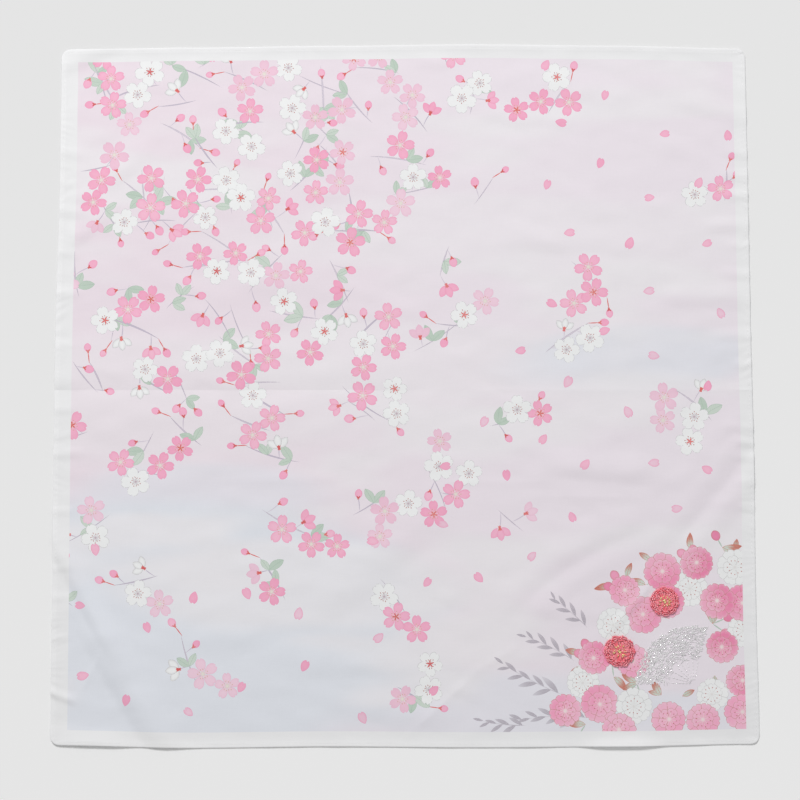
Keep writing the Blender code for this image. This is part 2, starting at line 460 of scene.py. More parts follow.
def stitch_dimples(x, y):
    """How far the thread draws the face of the hem down at each needle hole."""
    inset_x, inset_y = HALF_WIDTH - np.abs(x), HALF_LENGTH - np.abs(y)
    beside = np.where(inset_x < inset_y, inset_x, inset_y) - STITCH_LINE
    pitch_x, pitch_y = stitch_pitches()
    start_x, start_y = HALF_WIDTH - HEM_SECTION[-1][0], HALF_LENGTH - HEM_SECTION[-1][0]
    run = np.where(inset_x < inset_y, (y + start_y) / pitch_y, (x + start_x) / pitch_x)
    along = (1 + np.cos(2 * np.pi * run)) / 2
    return DIMPLE_DEPTH * along * np.exp(-(beside / DIMPLE_WIDTH) ** 2)


def stitch_pitches():
    """The length of a stitch along x and along y, in whole cells of the grid."""
    stitches = INNER_CELLS / CELLS_A_STITCH
    edges = 2 * HEM_SECTION[-1][0]
    return (CLOTH_WIDTH - edges) / stitches, (CLOTH_LENGTH - edges) / stitches


def edge_drift(place, column):
    """How far one edge strays outwards at each place along it."""
    places = np.array([row[0] for row in EDGE_DRIFT])
    drifts = np.array([row[column] for row in EDGE_DRIFT])
    place = np.clip(place, -1, 1)
    before = np.clip(np.searchsorted(places, place) - 1, 0, len(places) - 2)
    share = ease((place - places[before]) / (places[before + 1] - places[before]))
    return drifts[before] + (drifts[before + 1] - drifts[before]) * share


def round_corners(x, y):
    """Draws the places in each corner square in to a quarter circle."""
    over_x = np.abs(x) - (HALF_WIDTH - CORNER_RADIUS)
    over_y = np.abs(y) - (HALF_LENGTH - CORNER_RADIUS)
    inside = (over_x <= 0) | (over_y <= 0)
    spread = np.where(inside, 1, np.hypot(over_x, over_y))
    scale = np.where(inside, 1, np.maximum(over_x, over_y) / spread)
    x = np.where(inside, x, np.copysign(HALF_WIDTH - CORNER_RADIUS + over_x * scale, x))
    y = np.where(inside, y, np.copysign(HALF_LENGTH - CORNER_RADIUS + over_y * scale, y))
    return x, y


def stray(x, y):
    """Moves places with the unevenness of the edges, most at the edge and not at all in the middle."""
    place_x, place_y = x / HALF_WIDTH, y / HALF_LENGTH
    drift_x = np.where(x > 0, edge_drift(place_y, RIGHT), edge_drift(place_y, LEFT))
    drift_y = np.where(y > 0, edge_drift(place_x, FAR), edge_drift(place_x, NEAR))
    return x + drift_x * place_x * np.abs(place_x), y + drift_y * place_y * np.abs(place_y)


def footprint_shift():
    """What moves the middle of the outline's box to the middle of the solid's."""
    along, edge = np.linspace(-1, 1, OUTLINE_PLACES), np.ones(OUTLINE_PLACES)
    x = HALF_WIDTH * np.concatenate((along, along, -edge, edge))
    y = HALF_LENGTH * np.concatenate((-edge, edge, along, along))
    solid_x, solid_y, _ = sum(CLOTH_BOX, Vector()) / 2 / MM
    x, y = stray(*round_corners(x, y))
    return solid_x - (x.min() + x.max()) / 2, solid_y - (y.min() + y.max()) / 2


SHIFT_X, SHIFT_Y = footprint_shift()
LIFTS = FOLDS + tuple(pucker_fold(pucker) for pucker in EDGE_PUCKERS)


def lay(x, y, face=True):
    """Where flat places come to lie, in metres, on the cloth's face or on its underside."""
    x, y = np.asarray(x, float), np.asarray(y, float)
    inset = np.minimum(HALF_WIDTH - np.abs(x), HALF_LENGTH - np.abs(y))
    section = np.array(HEM_SECTION)
    height = np.interp(inset, section[:, 0], section[:, 2 if face else 1])
    if face:
        height = height - stitch_dimples(x, y)
    height = height + hem_curl(y)
    x, y = round_corners(x, y)
    height = height + sum(fold_height(fold, x, y) for fold in LIFTS)
    height = height + unevenness(x, y) + hem_gathers(x, y)
    x, y = stray(x, y)
    return np.stack((x + SHIFT_X, y + SHIFT_Y, height), axis=-1) * MM


def grid_lines(half, crease=None):
    """The places of the grid's lines in one direction, drawn close together at a pressed crease."""
    edge = [half - row[0] for row in HEM_SECTION]
    inner = np.linspace(-edge[-1], edge[-1], INNER_CELLS + 1)
    if crease is not None:
        away = inner - crease
        inner = inner - CREASE_CROWDING * away * np.exp(-(away / CREASE_REACH) ** 2)
    return np.concatenate((-np.array(edge[:-1]), inner, edge[-2::-1]))


def grid_blocks():
    """The faces of one side of the grid: single cells along the edges and larger blocks inside them.
    Each is its first and last column, then its first and last row."""
    cells = INNER_CELLS + 2 * EDGE_CELLS
    last = cells - EDGE_CELLS
    blocks = []
    for row in range(cells):
        inner_row = EDGE_CELLS <= row < last
        for column in range(cells):
            if not (inner_row and EDGE_CELLS <= column < last):
                blocks.append((column, column + 1, row, row + 1))
    for row in range(EDGE_CELLS, last, BLOCK):
        for column in range(EDGE_CELLS, last, BLOCK):
            blocks.append((column, column + BLOCK, row, row + BLOCK))
    return blocks


def finer_blocks(blocks, columns_at, rows_at):
    """Splits into single cells the blocks over which the cloth bends the most."""
    left, right, near, far = np.array(blocks).T

    def height(column, row):
        return lay(columns_at[column], rows_at[row])[:, 2]

    corners = sum(height(column, row) for column in (left, right) for row in (near, far))
    bend = np.abs(height((left + right) // 2, (near + far) // 2) - corners / 4)
    bend[right - left == 1] = 0
    split = bend > np.sort(bend)[-MOST_SPLIT]
    kept = [block for block, splits in zip(blocks, split) if not splits]
    for left, right, near, far in np.array(blocks)[split].tolist():
        for row in range(near, far):
            kept += [(column, column + 1, row, row + 1) for column in range(left, right)]
    return kept


def block_outline(block, used):
    """The grid points around one block, anticlockwise, leaving out those that no face has as a corner."""
    left, right, near, far = block
    around = [(column, near) for column in range(left, right)]
    around += [(right, row) for row in range(near, far)]
    around += [(column, far) for column in range(right, left, -1)]
    around += [(left, row) for row in range(far, near, -1)]
    return [(row, column) for column, row in around if used[row][column]]


def block_corners(blocks, lines):
    """Which points of the grid are a corner of some block."""
    used = np.zeros((lines, lines), bool)
    left, right, near, far = np.array(blocks).T
    for row in (near, far):
        for column in (left, right):
            used[row, column] = True
    return used


def cloth_faces(face_blocks, under_blocks, lines):
    """The cloth's faces on both sides, which share the points at the edge, and the rows and columns of
    the points on each side."""
    face, under = block_corners(face_blocks, lines), block_corners(under_blocks, lines)
    rim = np.ones((lines, lines), bool)
    rim[1:-1, 1:-1] = False
    face_number = np.full((lines, lines), -1)
    face_number[face] = np.arange(face.sum())
    under_number = np.where(rim, face_number, -1)
    under_number[under & ~rim] = face.sum() + np.arange((under & ~rim).sum())
    faces = []
    sides = ((face_blocks, face, face_number, 1), (under_blocks, under, under_number, -1))
    for blocks, used, number, step in sides:
        used, number = used.tolist(), number.tolist()
        for block in blocks:
            faces.append([number[row][column] for row, column in block_outline(block, used)[::step]])
    return faces, np.nonzero(face), np.nonzero(under & ~rim)


def cloth_sheet():
    """The handkerchief's mesh: both sides, with flat places and the two maps that its material reads."""
    columns_at, rows_at = grid_lines(HALF_WIDTH), grid_lines(HALF_LENGTH, HALF_FOLD_PLACE)
    under_blocks = grid_blocks()
    face_blocks = finer_blocks(under_blocks, columns_at, rows_at)
    faces, face_points, under_points = cloth_faces(face_blocks, under_blocks, len(columns_at))
    face_x, face_y = columns_at[face_points[1]], rows_at[face_points[0]]
    under_x, under_y = columns_at[under_points[1]], rows_at[under_points[0]]
    points = np.concatenate((lay(face_x, face_y), lay(under_x, under_y, face=False)))
    mesh = bpy.data.meshes.new("handkerchief")
    mesh.from_pydata(points.tolist(), [], faces)
    flat = np.stack((np.append(face_x, under_x), np.append(face_y, under_y), np.zeros(len(points))), axis=-1)
    carry(mesh, "laid_flat", "POINT", flat)
    sides = np.repeat((0.0, 1.0), (len(face_blocks), len(under_blocks)))
    attribute = mesh.attributes.new("underside", "FLOAT", "FACE")
    attribute.data.foreach_set("value", sides.astype(np.float32))
    bake_map(mesh, flat, sides)
    carry_motifs(mesh, face_blocks + under_blocks, columns_at, rows_at)
    mesh.shade_smooth()
    sheet = bpy.data.objects.new("handkerchief", mesh)
    bpy.context.scene.collection.objects.link(sheet)
    return sheet


def carry(mesh, name, domain, vectors):
    """Gives the mesh a named vector for each of its points or faces."""
    attribute = mesh.attributes.new(name, "FLOAT_VECTOR", domain)
    attribute.data.foreach_set("vector", np.asarray(vectors, np.float32).ravel())


def bake_map(mesh, flat, sides):
    """A map of the cloth for baking: the face in a large square, the underside in a strip beside it."""
    face_share, margin = 0.865, 0.004
    corners = np.empty(len(mesh.loops), np.int32)
    mesh.loops.foreach_get("vertex_index", corners)
    sizes = np.empty(len(mesh.polygons), np.int32)
    mesh.polygons.foreach_get("loop_total", sizes)
    under = np.repeat(sides, sizes) > 0
    across = flat[corners, 0] / CLOTH_WIDTH + 0.5
    up = flat[corners, 1] / CLOTH_LENGTH + 0.5
    strip = 1 - face_share - 3 * margin
    u = np.where(under, face_share + 2 * margin + across * strip, margin + across * face_share)
    v = np.where(under, margin + up * (1 - 2 * margin), margin + up * face_share)
    layer = mesh.uv_layers.new(name="OFBake")
    layer.data.foreach_set("uv", np.stack((u, v), axis=-1).astype(np.float32).ravel())


# The print: what it is made of

# A ring of petals round a place. Each starts this far from it, and has its own length and width.
Motif = collections.namedtuple(
    "Motif", "x y turn length width kind fill line petals start bend", defaults=(1, 0, 0))

STRONG_PINK = (dye(252, 182, 209), dye(252, 187, 213), dye(251, 176, 205), dye(252, 193, 216))
PALE_PINK = (dye(246, 207, 225), dye(245, 202, 221), dye(247, 213, 229))
PINK_EDGE = dye(245, 158, 192)
PALE_EDGE = dye(240, 194, 215)
BLOSSOM_WHITE = dye(246, 247, 247)
WHITE_EDGE = dye(194, 192, 194)
CALYX_RED = (dye(228, 112, 108), dye(232, 128, 126), dye(220, 104, 104))
LEAF_GREEN = (dye(203, 218, 205), dye(196, 213, 199), dye(211, 223, 212))
LEAF_VEIN = dye(174, 196, 180)
TWIG_LILAC = (dye(212, 202, 216), dye(203, 194, 210), dye(219, 210, 222))
TWIG_GREY = dye(190, 182, 194)
ROSETTE_PINK = (dye(247, 152, 188), dye(249, 166, 198), dye(243, 142, 180), dye(250, 176, 205))
ROSETTE_PALE = dye(248, 204, 221)
ROSETTE_EDGE = dye(205, 138, 132)
FAINT_EDGE = dye(206, 204, 204)
RUST = dye(212, 116, 98)
LEAF_GREY = dye(182, 175, 185)


def lens_form(length, width):
    """The radius of a lens shape's two arcs, and how far past its middle line their centres lie."""
    radius = (length ** 2 + width ** 2) / (4 * width)
    return radius, radius - width / 2


def petal_distance(maths, x, y, half_sector, start, radius, waist, bend, flowering, ringed):
    """How far a place is outside a ring of lens-shaped petals round 0, 0, the first along x, with how
    far and in which direction it is from the middle, and how far that is from the nearest petal's own
    direction. Where flowering is 1, each petal has a notched tip and a small disc fills the middle.
    Where ringed is 1 too, that disc reaches to the middles of the petals. The same formula serves
    arrays and materials."""
    y = y - bend * x * x
    turn = maths.arctan2(y, x)
    reach = maths.sqrt(x * x + y * y)
    aside = maths.pingpong(turn, half_sector)
    along = reach * maths.cos(aside) - start
    across = reach * maths.sin(aside) * (1 - flowering * BROADER_OUTWARD * along)
    over = across + waist
    petal = maths.sqrt(along * along + over * over) - radius
    notched = petal + maths.most(flowering * NOTCH_DEPTH - across * NOTCH_SLOPE, 0) * (along > 0)
    disc = flowering * HEART_RADIUS + ringed * (start - HEART_RADIUS)
    return maths.least(notched, reach - disc), reach, turn, aside


def motif_numbers(motif):
    """The numbers that the material needs for a motif, as four vectors and one more for its line."""
    radius, waist = lens_form(motif.length, motif.width)
    return (
        (motif.x, motif.y, -motif.turn),
        (math.pi / motif.petals, motif.start + motif.length / 2, waist),
        (radius, motif.bend, motif.kind),
        motif.fill,
        motif.line,
    )


NO_MOTIF = ((0, 0, 0), (1, 0, 0), (-1, 0, 0), (0, 0, 0), (0, 0, 0))
MOTIF_PARTS = ("place", "form", "curve", "fill", "line")


def distance_in_print(motif, x, y):
    """How far flat places are outside a motif."""
    (_, _, turn), (half_sector, start, waist), (radius, bend, kind), _, _ = motif_numbers(motif)
    x, y = x - motif.x, y - motif.y
    x, y = x * np.cos(turn) - y * np.sin(turn), x * np.sin(turn) + y * np.cos(turn)
    flowering = float(BLOSSOM <= kind <= LOOSE_PETAL)
    ringed = float(WHITE_ROSETTE <= kind <= LOOSE_PETAL)
    return petal_distance(Numbers, x, y, half_sector, start, radius, waist, bend, flowering, ringed)[0]


def visible_motifs(motifs, columns_at, rows_at):
    """For each inner block of the grid, the numbers of the motifs that show in it, topmost first."""
    blocks = INNER_CELLS // BLOCK
    count = blocks * FINDERS
    finders = EDGE_CELLS + (np.arange(count) + 0.5) * BLOCK / FINDERS
    places = [np.interp(finders, np.arange(len(lines)), lines) for lines in (columns_at, rows_at)]
    top = np.full((count, count), -1)
    near = np.full((count, count), -1)
    windows = []
    for number, motif in enumerate(motifs):
        tip = motif.start + motif.length
        reach = tip + abs(motif.bend) * tip ** 2 + 1
        window = []
        for at, centre in zip(places, (motif.x, motif.y)):
            first, last = np.searchsorted(at, (centre - reach, centre + reach))
            window.append(slice(first // FINDERS * FINDERS, -(-last // FINDERS) * FINDERS))
        across, up = window
        windows.append(window)
        distance = distance_in_print(motif, places[0][None, across], places[1][up, None])
        top[up, across][distance < 0] = number
        near[up, across][distance < PRINT_BLEED] = number
    chosen = np.full((blocks, blocks, LAYERS), -1)
    filled = np.zeros((blocks, blocks), int)
    for number in reversed(range(len(motifs))):
        across, up = windows[number]
        shown = (top[up, across] == number) | (near[up, across] == number)
        if not shown.size:
            continue
        tall, wide = shown.shape[0] // FINDERS, shown.shape[1] // FINDERS
        shown = shown.reshape(tall, FINDERS, wide, FINDERS).any(axis=(1, 3))
        rows, columns = np.nonzero(shown)
        rows, columns = rows + up.start // FINDERS, columns + across.start // FINDERS
        free = filled[rows, columns] < LAYERS
        rows, columns = rows[free], columns[free]
        chosen[rows, columns, filled[rows, columns]] = number
        filled[rows, columns] += 1
    return chosen


def carry_motifs(mesh, blocks, columns_at, rows_at):
    """Gives each face of the cloth, on both its sides, the motifs that show in it."""
    motifs = whole_print()
    numbers = [motif_numbers(motif) for motif in motifs] + [NO_MOTIF]
    chosen = visible_motifs(motifs, columns_at, rows_at)
    starts = np.array([(block[2], block[0]) for block in blocks]) - EDGE_CELLS
    inner = ((starts >= 0) & (starts < INNER_CELLS)).all(axis=1)
    for layer in range(LAYERS):
        found = np.full(len(blocks), -1)
        found[inner] = chosen[starts[inner, 0] // BLOCK, starts[inner, 1] // BLOCK, layer]
        for part, name in enumerate(MOTIF_PARTS):
            table = np.array([number[part] for number in numbers], float)
            carry(mesh, f"motif_{layer}_{name}", "FACE", table[found])


# The print: how it is laid out

# Angles are in radians. Leans are each used in turn, EITHER_SIDE is a choice of two, and any other pair
# is the least and the greatest of what is drawn at random.
FULL_TURN = 6.3
EITHER_SIDE = (-1, 1)

# The share of a blossom's size at which its petals start, their widths, and the red heart of some
PETAL_START, PETAL_WIDTH, WHITE_PETAL_WIDTH = 0.12, 0.62, 0.74
RED_HEART_CHANCE = 0.14
RED_HEART_TURN, RED_HEART_LENGTH, RED_HEART_WIDTH = 0.63, 2.4, 0.9
STRONG_PINK_SHARE, ANY_PINK_SHARE = 0.43, 0.66

# Blossoms from the side, buds and leaves: each one's leans, start, length and width
SIDE_PETAL_LEANS, SIDE_PETAL_START, SIDE_PETAL_WIDTH = (-0.85, 0.85, 0), 0.2, 0.6
SIDE_CALYX_LEANS, SIDE_CALYX_START, SIDE_CALYX_LENGTH, SIDE_CALYX_WIDTH = (-0.6, 0.6, 0), -1.6, 3.6, 1.2
BUD_WIDTH = 0.78
CALYX_LEANS, CALYX_START, CALYX_LENGTH, CALYX_WIDTH = (-0.6, 0.6), -1.0, 3.0, 1.0
LEAF_LENGTH, LEAF_WIDTH, LEAF_BEND = (8, 12), 0.5, (-0.02, 0.02)
LEAF_PAIR_LEANS, LEAF_PAIR_SWAY = (-0.65, 0.55), (-0.2, 0.2)

# What grows at the end of a stalk: the draws from 0 to 1 that pick it, the room it needs and its size
BLOSSOM_DRAWS, BLOSSOM_ROOM, BLOSSOM_SIZE = (0.0, 0.74), 14, (8.6, 9.9)
SIDE_DRAWS, SIDE_ROOM, SIDE_SIZE = (0.66, 0.86), 11, (7.0, 8.4)
BUD_DRAWS, BUD_ROOM, BUD_SIZE = (0.76, 1.0), 8, (5.4, 6.8)
SECOND_CHANCE, SECOND_ROOM, SECOND_SIZE = 0.6, 13, (8.0, 9.4)
SECOND_LEAN, SECOND_DISTANCE = 1.3, (14, 17)

# A sprig's twig, its stalks, its leaves and the buds at its tip
TWIG_LENGTH, TWIG_WIDTH, TWIG_BEND = (20, 38), (0.6, 1.2), (0.002, 0.007)
FIRST_STALK, STALK_SPACING, LAST_STALK = (2, 7), (7.0, 11.0), 0.95
STALK_LEAN, STALK_LENGTH, STALK_WIDTH, STALK_BEND, STALK_OVERLAP = (0.6, 1.3), (5, 10), 0.6, 0.02, 3
TWIG_LEAF_CHANCE, TWIG_LEAF_LEAN = 0.2, (1.2, 2.2)
TIP_PLACE, TIP_LEANS, TIP_REACH, TIP_BUD_CHANCE, TIP_BUD_SIZE = 0.97, (-0.45, 0.5), 6.5, 0.5, (5.0, 6.4)
TIP_STALK_START, TIP_STALK_LENGTH, TIP_STALK_WIDTH = -1, 8, 0.6


def turned(x, y, turn, along, aside=0):
    """A place that lies along and aside of a heading from x, y."""
    cos, sin = math.cos(turn), math.sin(turn)
    return x + along * cos - aside * sin, y + along * sin + aside * cos


def splayed(x, y, turn, leans, *form, **more):
    """Motifs that spread from one place, each at its own lean from the same heading."""
    return [Motif(x, y, turn + lean, *form, **more) for lean in leans]


def pick(random, tones):
    return tones[random.integers(len(tones))]


def free_place(taken, x, y, apart):
    """Whether nothing taken yet lies within apart of a place. If so, the place is taken."""
    if any(math.hypot(x - other_x, y - other_y) < apart for other_x, other_y in taken):
        return False
    taken.append((x, y))
    return True


def blossom(random, x, y, size, tone):
    """A five-petalled blossom seen from the front, its petals a little apart."""
    fill, line, kind = tone
    start = size * PETAL_START
    width = size * (WHITE_PETAL_WIDTH if kind == WHITE_BLOSSOM else PETAL_WIDTH)
    turn = random.uniform(0, FULL_TURN)
    petals = Motif(x, y, turn, size - start, width, kind, fill, line, 5, start)
    if random.uniform() > RED_HEART_CHANCE:
        return [petals]
    red = pick(random, CALYX_RED)
    return [petals, Motif(x, y, turn + RED_HEART_TURN, RED_HEART_LENGTH, RED_HEART_WIDTH, PLAIN, red, red, 5)]


def half_blossom(random, x, y, turn, size, tone):
    """A blossom seen from the side: three petals, with its calyx over their base."""
    fill, line, _ = tone
    petals = splayed(x, y, turn, SIDE_PETAL_LEANS, size, size * SIDE_PETAL_WIDTH, PETAL, fill, line,
                     start=SIDE_PETAL_START)
    red = pick(random, CALYX_RED)
    return petals + splayed(x, y, turn, SIDE_CALYX_LEANS, SIDE_CALYX_LENGTH, SIDE_CALYX_WIDTH, PLAIN,
                            red, red, start=SIDE_CALYX_START)


def bud(random, x, y, turn, size, tone):
    """A closed bud with a red calyx at its base."""
    fill, line, _ = tone
    red = pick(random, CALYX_RED)
    body = Motif(x, y, turn, size, size * BUD_WIDTH, PETAL, fill, line)
    calyx = splayed(x, y, turn, CALYX_LEANS, CALYX_LENGTH, CALYX_WIDTH, PLAIN, red, red, start=CALYX_START)
    return [body] + calyx


def leaf(random, x, y, turn, size):
    green = pick(random, LEAF_GREEN)
    return Motif(x, y, turn, size, size * LEAF_WIDTH, LEAF, green, LEAF_VEIN, bend=random.uniform(*LEAF_BEND))


def any_tone(random):
    """The colour of a blossom: strong pink, pale pink or white."""
    draw = random.uniform()
    if draw < STRONG_PINK_SHARE:
        return pick(random, STRONG_PINK), PINK_EDGE, BLOSSOM
    if draw < ANY_PINK_SHARE:
        return pick(random, PALE_PINK), PALE_EDGE, BLOSSOM
    return BLOSSOM_WHITE, WHITE_EDGE, WHITE_BLOSSOM


def pink_bud_tone(random):
    return pick(random, STRONG_PINK), PINK_EDGE, PETAL


def twig_flowers(random, taken, x, y, turn, middle, high):
    """What grows on one stalk, where there is room: a blossom or two, a blossom from the side, or a bud.
    Returns whether anything does."""
    draw = random.uniform()

    def grows(draws, room):
        least, greatest = draws
        return least < draw < greatest and free_place(taken, x, y, room)

    if grows(BLOSSOM_DRAWS, BLOSSOM_ROOM):
        high += blossom(random, x, y, random.uniform(*BLOSSOM_SIZE), any_tone(random))
        heading = turn + random.choice(EITHER_SIDE) * SECOND_LEAN
        second = turned(x, y, heading, random.uniform(*SECOND_DISTANCE))
        if random.uniform() < SECOND_CHANCE and free_place(taken, *second, SECOND_ROOM):
            middle += blossom(random, *second, random.uniform(*SECOND_SIZE), any_tone(random))
    elif grows(SIDE_DRAWS, SIDE_ROOM):
        high += half_blossom(random, x, y, turn, random.uniform(*SIDE_SIZE), any_tone(random))
    elif grows(BUD_DRAWS, BUD_ROOM):
        middle += bud(random, x, y, turn, random.uniform(*BUD_SIZE), pink_bud_tone(random))
    else:
        return False
    return True


def leaf_pair(random, x, y, turn):
    """Two leaves that spread from one place."""
    leaves = []
    for lean in LEAF_PAIR_LEANS:
        heading = turn + lean + random.uniform(*LEAF_PAIR_SWAY)
        leaves.append(leaf(random, x, y, heading, random.uniform(*LEAF_LENGTH)))
    return leaves


def sprig(random, taken, x, y, turn, length):
    """A bowed twig with leaves, buds and blossoms on either side of it, in three layers, lowest first."""
    bend = random.choice(EITHER_SIDE) * random.uniform(*TWIG_BEND)
    width = random.uniform(*TWIG_WIDTH)
    twig = pick(random, TWIG_LILAC)
    low = [Motif(x, y, turn, length, width, PLAIN, twig, TWIG_GREY, bend=bend)]
    leaves, middle, high = [], [], []
    side = random.choice(EITHER_SIDE)
    along = random.uniform(*FIRST_STALK)
    while along < length * LAST_STALK:
        base = turned(x, y, turn, along, bend * along * along)
        heading = turn + side * random.uniform(*STALK_LEAN)
        stalk = random.uniform(*STALK_LENGTH)
        tip = turned(*base, heading, stalk, STALK_BEND * side * stalk * stalk)
        if twig_flowers(random, taken, *tip, heading, middle, high):
            low.append(Motif(*base, heading, stalk + STALK_OVERLAP, STALK_WIDTH, PLAIN, twig, twig,
                             bend=STALK_BEND * side))
        if random.uniform() < TWIG_LEAF_CHANCE:
            leaves += leaf_pair(random, *base, heading - side * random.uniform(*TWIG_LEAF_LEAN))
        side = -side
        along += random.uniform(*STALK_SPACING)
    tip = turned(x, y, turn, length * TIP_PLACE, bend * length * length)
    for lean in TIP_LEANS:
        heading = turn + 2 * bend * length + lean
        place = turned(*tip, heading, TIP_REACH)
        if random.uniform() < TIP_BUD_CHANCE and free_place(taken, *place, BUD_ROOM):
            red = CALYX_RED[0]
            low.append(Motif(*tip, heading, TIP_STALK_LENGTH, TIP_STALK_WIDTH, PLAIN, red, red,
                             start=TIP_STALK_START))
            middle += bud(random, *place, heading, random.uniform(*TIP_BUD_SIZE), pink_bud_tone(random))
    if not (middle or high):
        return [], [], []
    return low + leaves, middle, high


def scattered(random, tries, spacing, allowed):
    """Places in the printed area, no two nearer than spacing says for where they are."""
    kept = np.empty((0, 2))
    for x, y in random.uniform((PRINT_LEFT, PRINT_NEAR), (PRINT_RIGHT, PRINT_FAR), (tries, 2)):
        apart = spacing(x, y)
        if not allowed(x, y) or (len(kept) and np.hypot(*(kept - (x, y)).T).min() < apart):
            continue
        kept = np.vstack((kept, (x, y)))
    return kept


# The sprigs are closest together round this place, towards the far left, and thin out away from it.
# Distance from it counts for less along y.
FULLEST_X, FULLEST_Y, FULLEST_ALONG_Y = -112.0, 128.0, 0.8
SPRIG_TRIES, SPRIG_SPACING, SPRIG_THINNING, THINNING_REACH, THINNING_POWER = 3000, 14, 42, 230, 2.2

# Loose petals lie at least this far from that place
LOOSE_TRIES, LOOSE_SPACING, LOOSE_FROM_FULLEST = 500, 30, 190
LOOSE_LENGTH, LOOSE_WIDTH, LOOSE_BEND = (6.8, 8.2), 0.66, (-0.03, 0.03)
LOOSE_PINKS = STRONG_PINK + PALE_PINK[:2]

# The grey sprays beside the decorated corner grow round this place
SPRAYS_X, SPRAYS_Y, SPRAYS_RADIUS = 78.0, -176.0, 44.0

# How far sprigs and loose petals keep from the decorated corner
SPRIGS_CLEAR, PETALS_CLEAR = 32, 12


def open_ground(x, y, apart):
    """Whether a place is this far from the decorated corner and half as far from the sprays beside it."""
    from_sprays = math.hypot(x - SPRAYS_X, y - SPRAYS_Y) - SPRAYS_RADIUS
    return garland_distance(x, y) > apart and from_sprays > apart / 2


def from_fullest(x, y):
    return math.hypot(x - FULLEST_X, (y - FULLEST_Y) * FULLEST_ALONG_Y)


def sprig_spacing(x, y):
    return SPRIG_SPACING + SPRIG_THINNING * (from_fullest(x, y) / THINNING_REACH) ** THINNING_POWER


def tossed_sprigs():
    """Sprigs thrown all over the cloth, turned every way."""
    random = np.random.default_rng(SPRIG_SEED)
    places = scattered(random, SPRIG_TRIES, sprig_spacing, lambda x, y: open_ground(x, y, SPRIGS_CLEAR))
    layers, taken = ([], [], []), []
    for x, y in places:
        turn, length = random.uniform(0, FULL_TURN), random.uniform(*TWIG_LENGTH)
        for layer, its_part in zip(layers, sprig(random, taken, x, y, turn, length)):
            layer.extend(its_part)
    return layers


def loose_petals():
    """Single petals over the bare part of the cloth."""
    random = np.random.default_rng(PETAL_SEED)

    def allowed(x, y):
        return from_fullest(x, y) > LOOSE_FROM_FULLEST and open_ground(x, y, PETALS_CLEAR)

    petals = []
    for x, y in scattered(random, LOOSE_TRIES, lambda x, y: LOOSE_SPACING, allowed):
        fill = pick(random, LOOSE_PINKS)
        size = random.uniform(*LOOSE_LENGTH)
        turn, bend = random.uniform(0, FULL_TURN), random.uniform(*LOOSE_BEND)
        petals.append(Motif(x, y, turn, size, size * LOOSE_WIDTH, LOOSE_PETAL, fill, PINK_EDGE,
                            start=-size / 2, bend=bend))
    return petals


# The decorated corner: rosettes round a clearing in it, out to a bow from the near edge to the right one
GARLAND_X, GARLAND_Y, GARLAND_RADIUS = 214.0, -214.0, 122.0
CLEARING_X, CLEARING_Y, CLEARING_RADIUS = 165.0, -162.0, 25.0
ROSETTE_TRIES, ROSETTE_SPACING, WHITE_SPACING, WHITE_CHANCE = 6000, 15.5, 30.0, 0.6
ROSETTE_RADIUS, RING_STRAY, RING_TURN = (9.6, 12.0), (-0.5, 0.5), (0.2, 0.5)
ROSETTE_RING_ROWS = (
    # petals, shares of the radius: inner end, outer end, width
    (8, 0.24, 1.00, 0.72),
    (5, 0.04, 0.66, 0.60),
)

# What grows round a rosette, for draws from 0 to 1 above these, and in the spaces between rosettes. Leaves
# start at this share of the rosette's radius.
LEAVES_ABOVE, LEAVES_START, BUDS_ABOVE, BUDS_TURN, BUDS_LEANS = 0.50, 0.8, 0.70, (-1.2, 1.2), (-0.35, 0.4)
FILLING_TRIES, FILLING_SPACING, FILLING_FROM_ROSETTES = 2000, 10.0, 11.5
FILLING_TURN, FILLING_BUD_LEANS = (0.7, 1.6), (-0.5, 0.5)
AUTUMN_TURN, AUTUMN_WIDTH, AUTUMN_BEND, MOST_AUTUMN_LEAVES = (-0.8, 0.8), 0.42, (-0.03, 0.03), 3
ROSE_STALK_LENGTH, ROSE_STALK_WIDTH, ROSE_STALK_OVERLAP = (4.5, 7.5), 0.8, 1
ROSE_BUD_LENGTH, ROSE_BUD_WIDTH = 6.8, 5.6


def garland_distance(x, y):
    """How far a place is outside the bow of rosettes, and 0 within the corner that it closes off."""
    return max(math.hypot(x - GARLAND_X, y - GARLAND_Y) - GARLAND_RADIUS, 0)


def in_corner(x, y):
    """Whether a place is in the decorated corner, outside the clearing round the fan."""
    return garland_distance(x, y) == 0 and math.hypot(x - CLEARING_X, y - CLEARING_Y) > CLEARING_RADIUS


def rosette(random, x, y, size, white):
    """A full flower: rings of notched petals over each other, each smaller and turned."""
    turn = random.uniform(0, FULL_TURN)
    pink = pick(random, ROSETTE_PINK)
    parts = []
    for number, (petals, inner, outer, width) in enumerate(ROSETTE_RING_ROWS):
        innermost = number == len(ROSETTE_RING_ROWS) - 1
        if white:
            fill, line, kind = BLOSSOM_WHITE, FAINT_EDGE, WHITE_ROSETTE if innermost else WHITE_RING
        else:
            fill, line, kind = pink, ROSETTE_EDGE, ROSETTE if innermost else RING
        middle = x + random.uniform(*RING_STRAY), y + random.uniform(*RING_STRAY)
        if innermost:
            middle = x, y
        petals += random.integers(2)
        parts.append(Motif(*middle, turn, size * (outer - inner), size * width, kind, fill, line,
                           petals, start=size * inner))
        turn += random.uniform(*RING_TURN)
    return parts


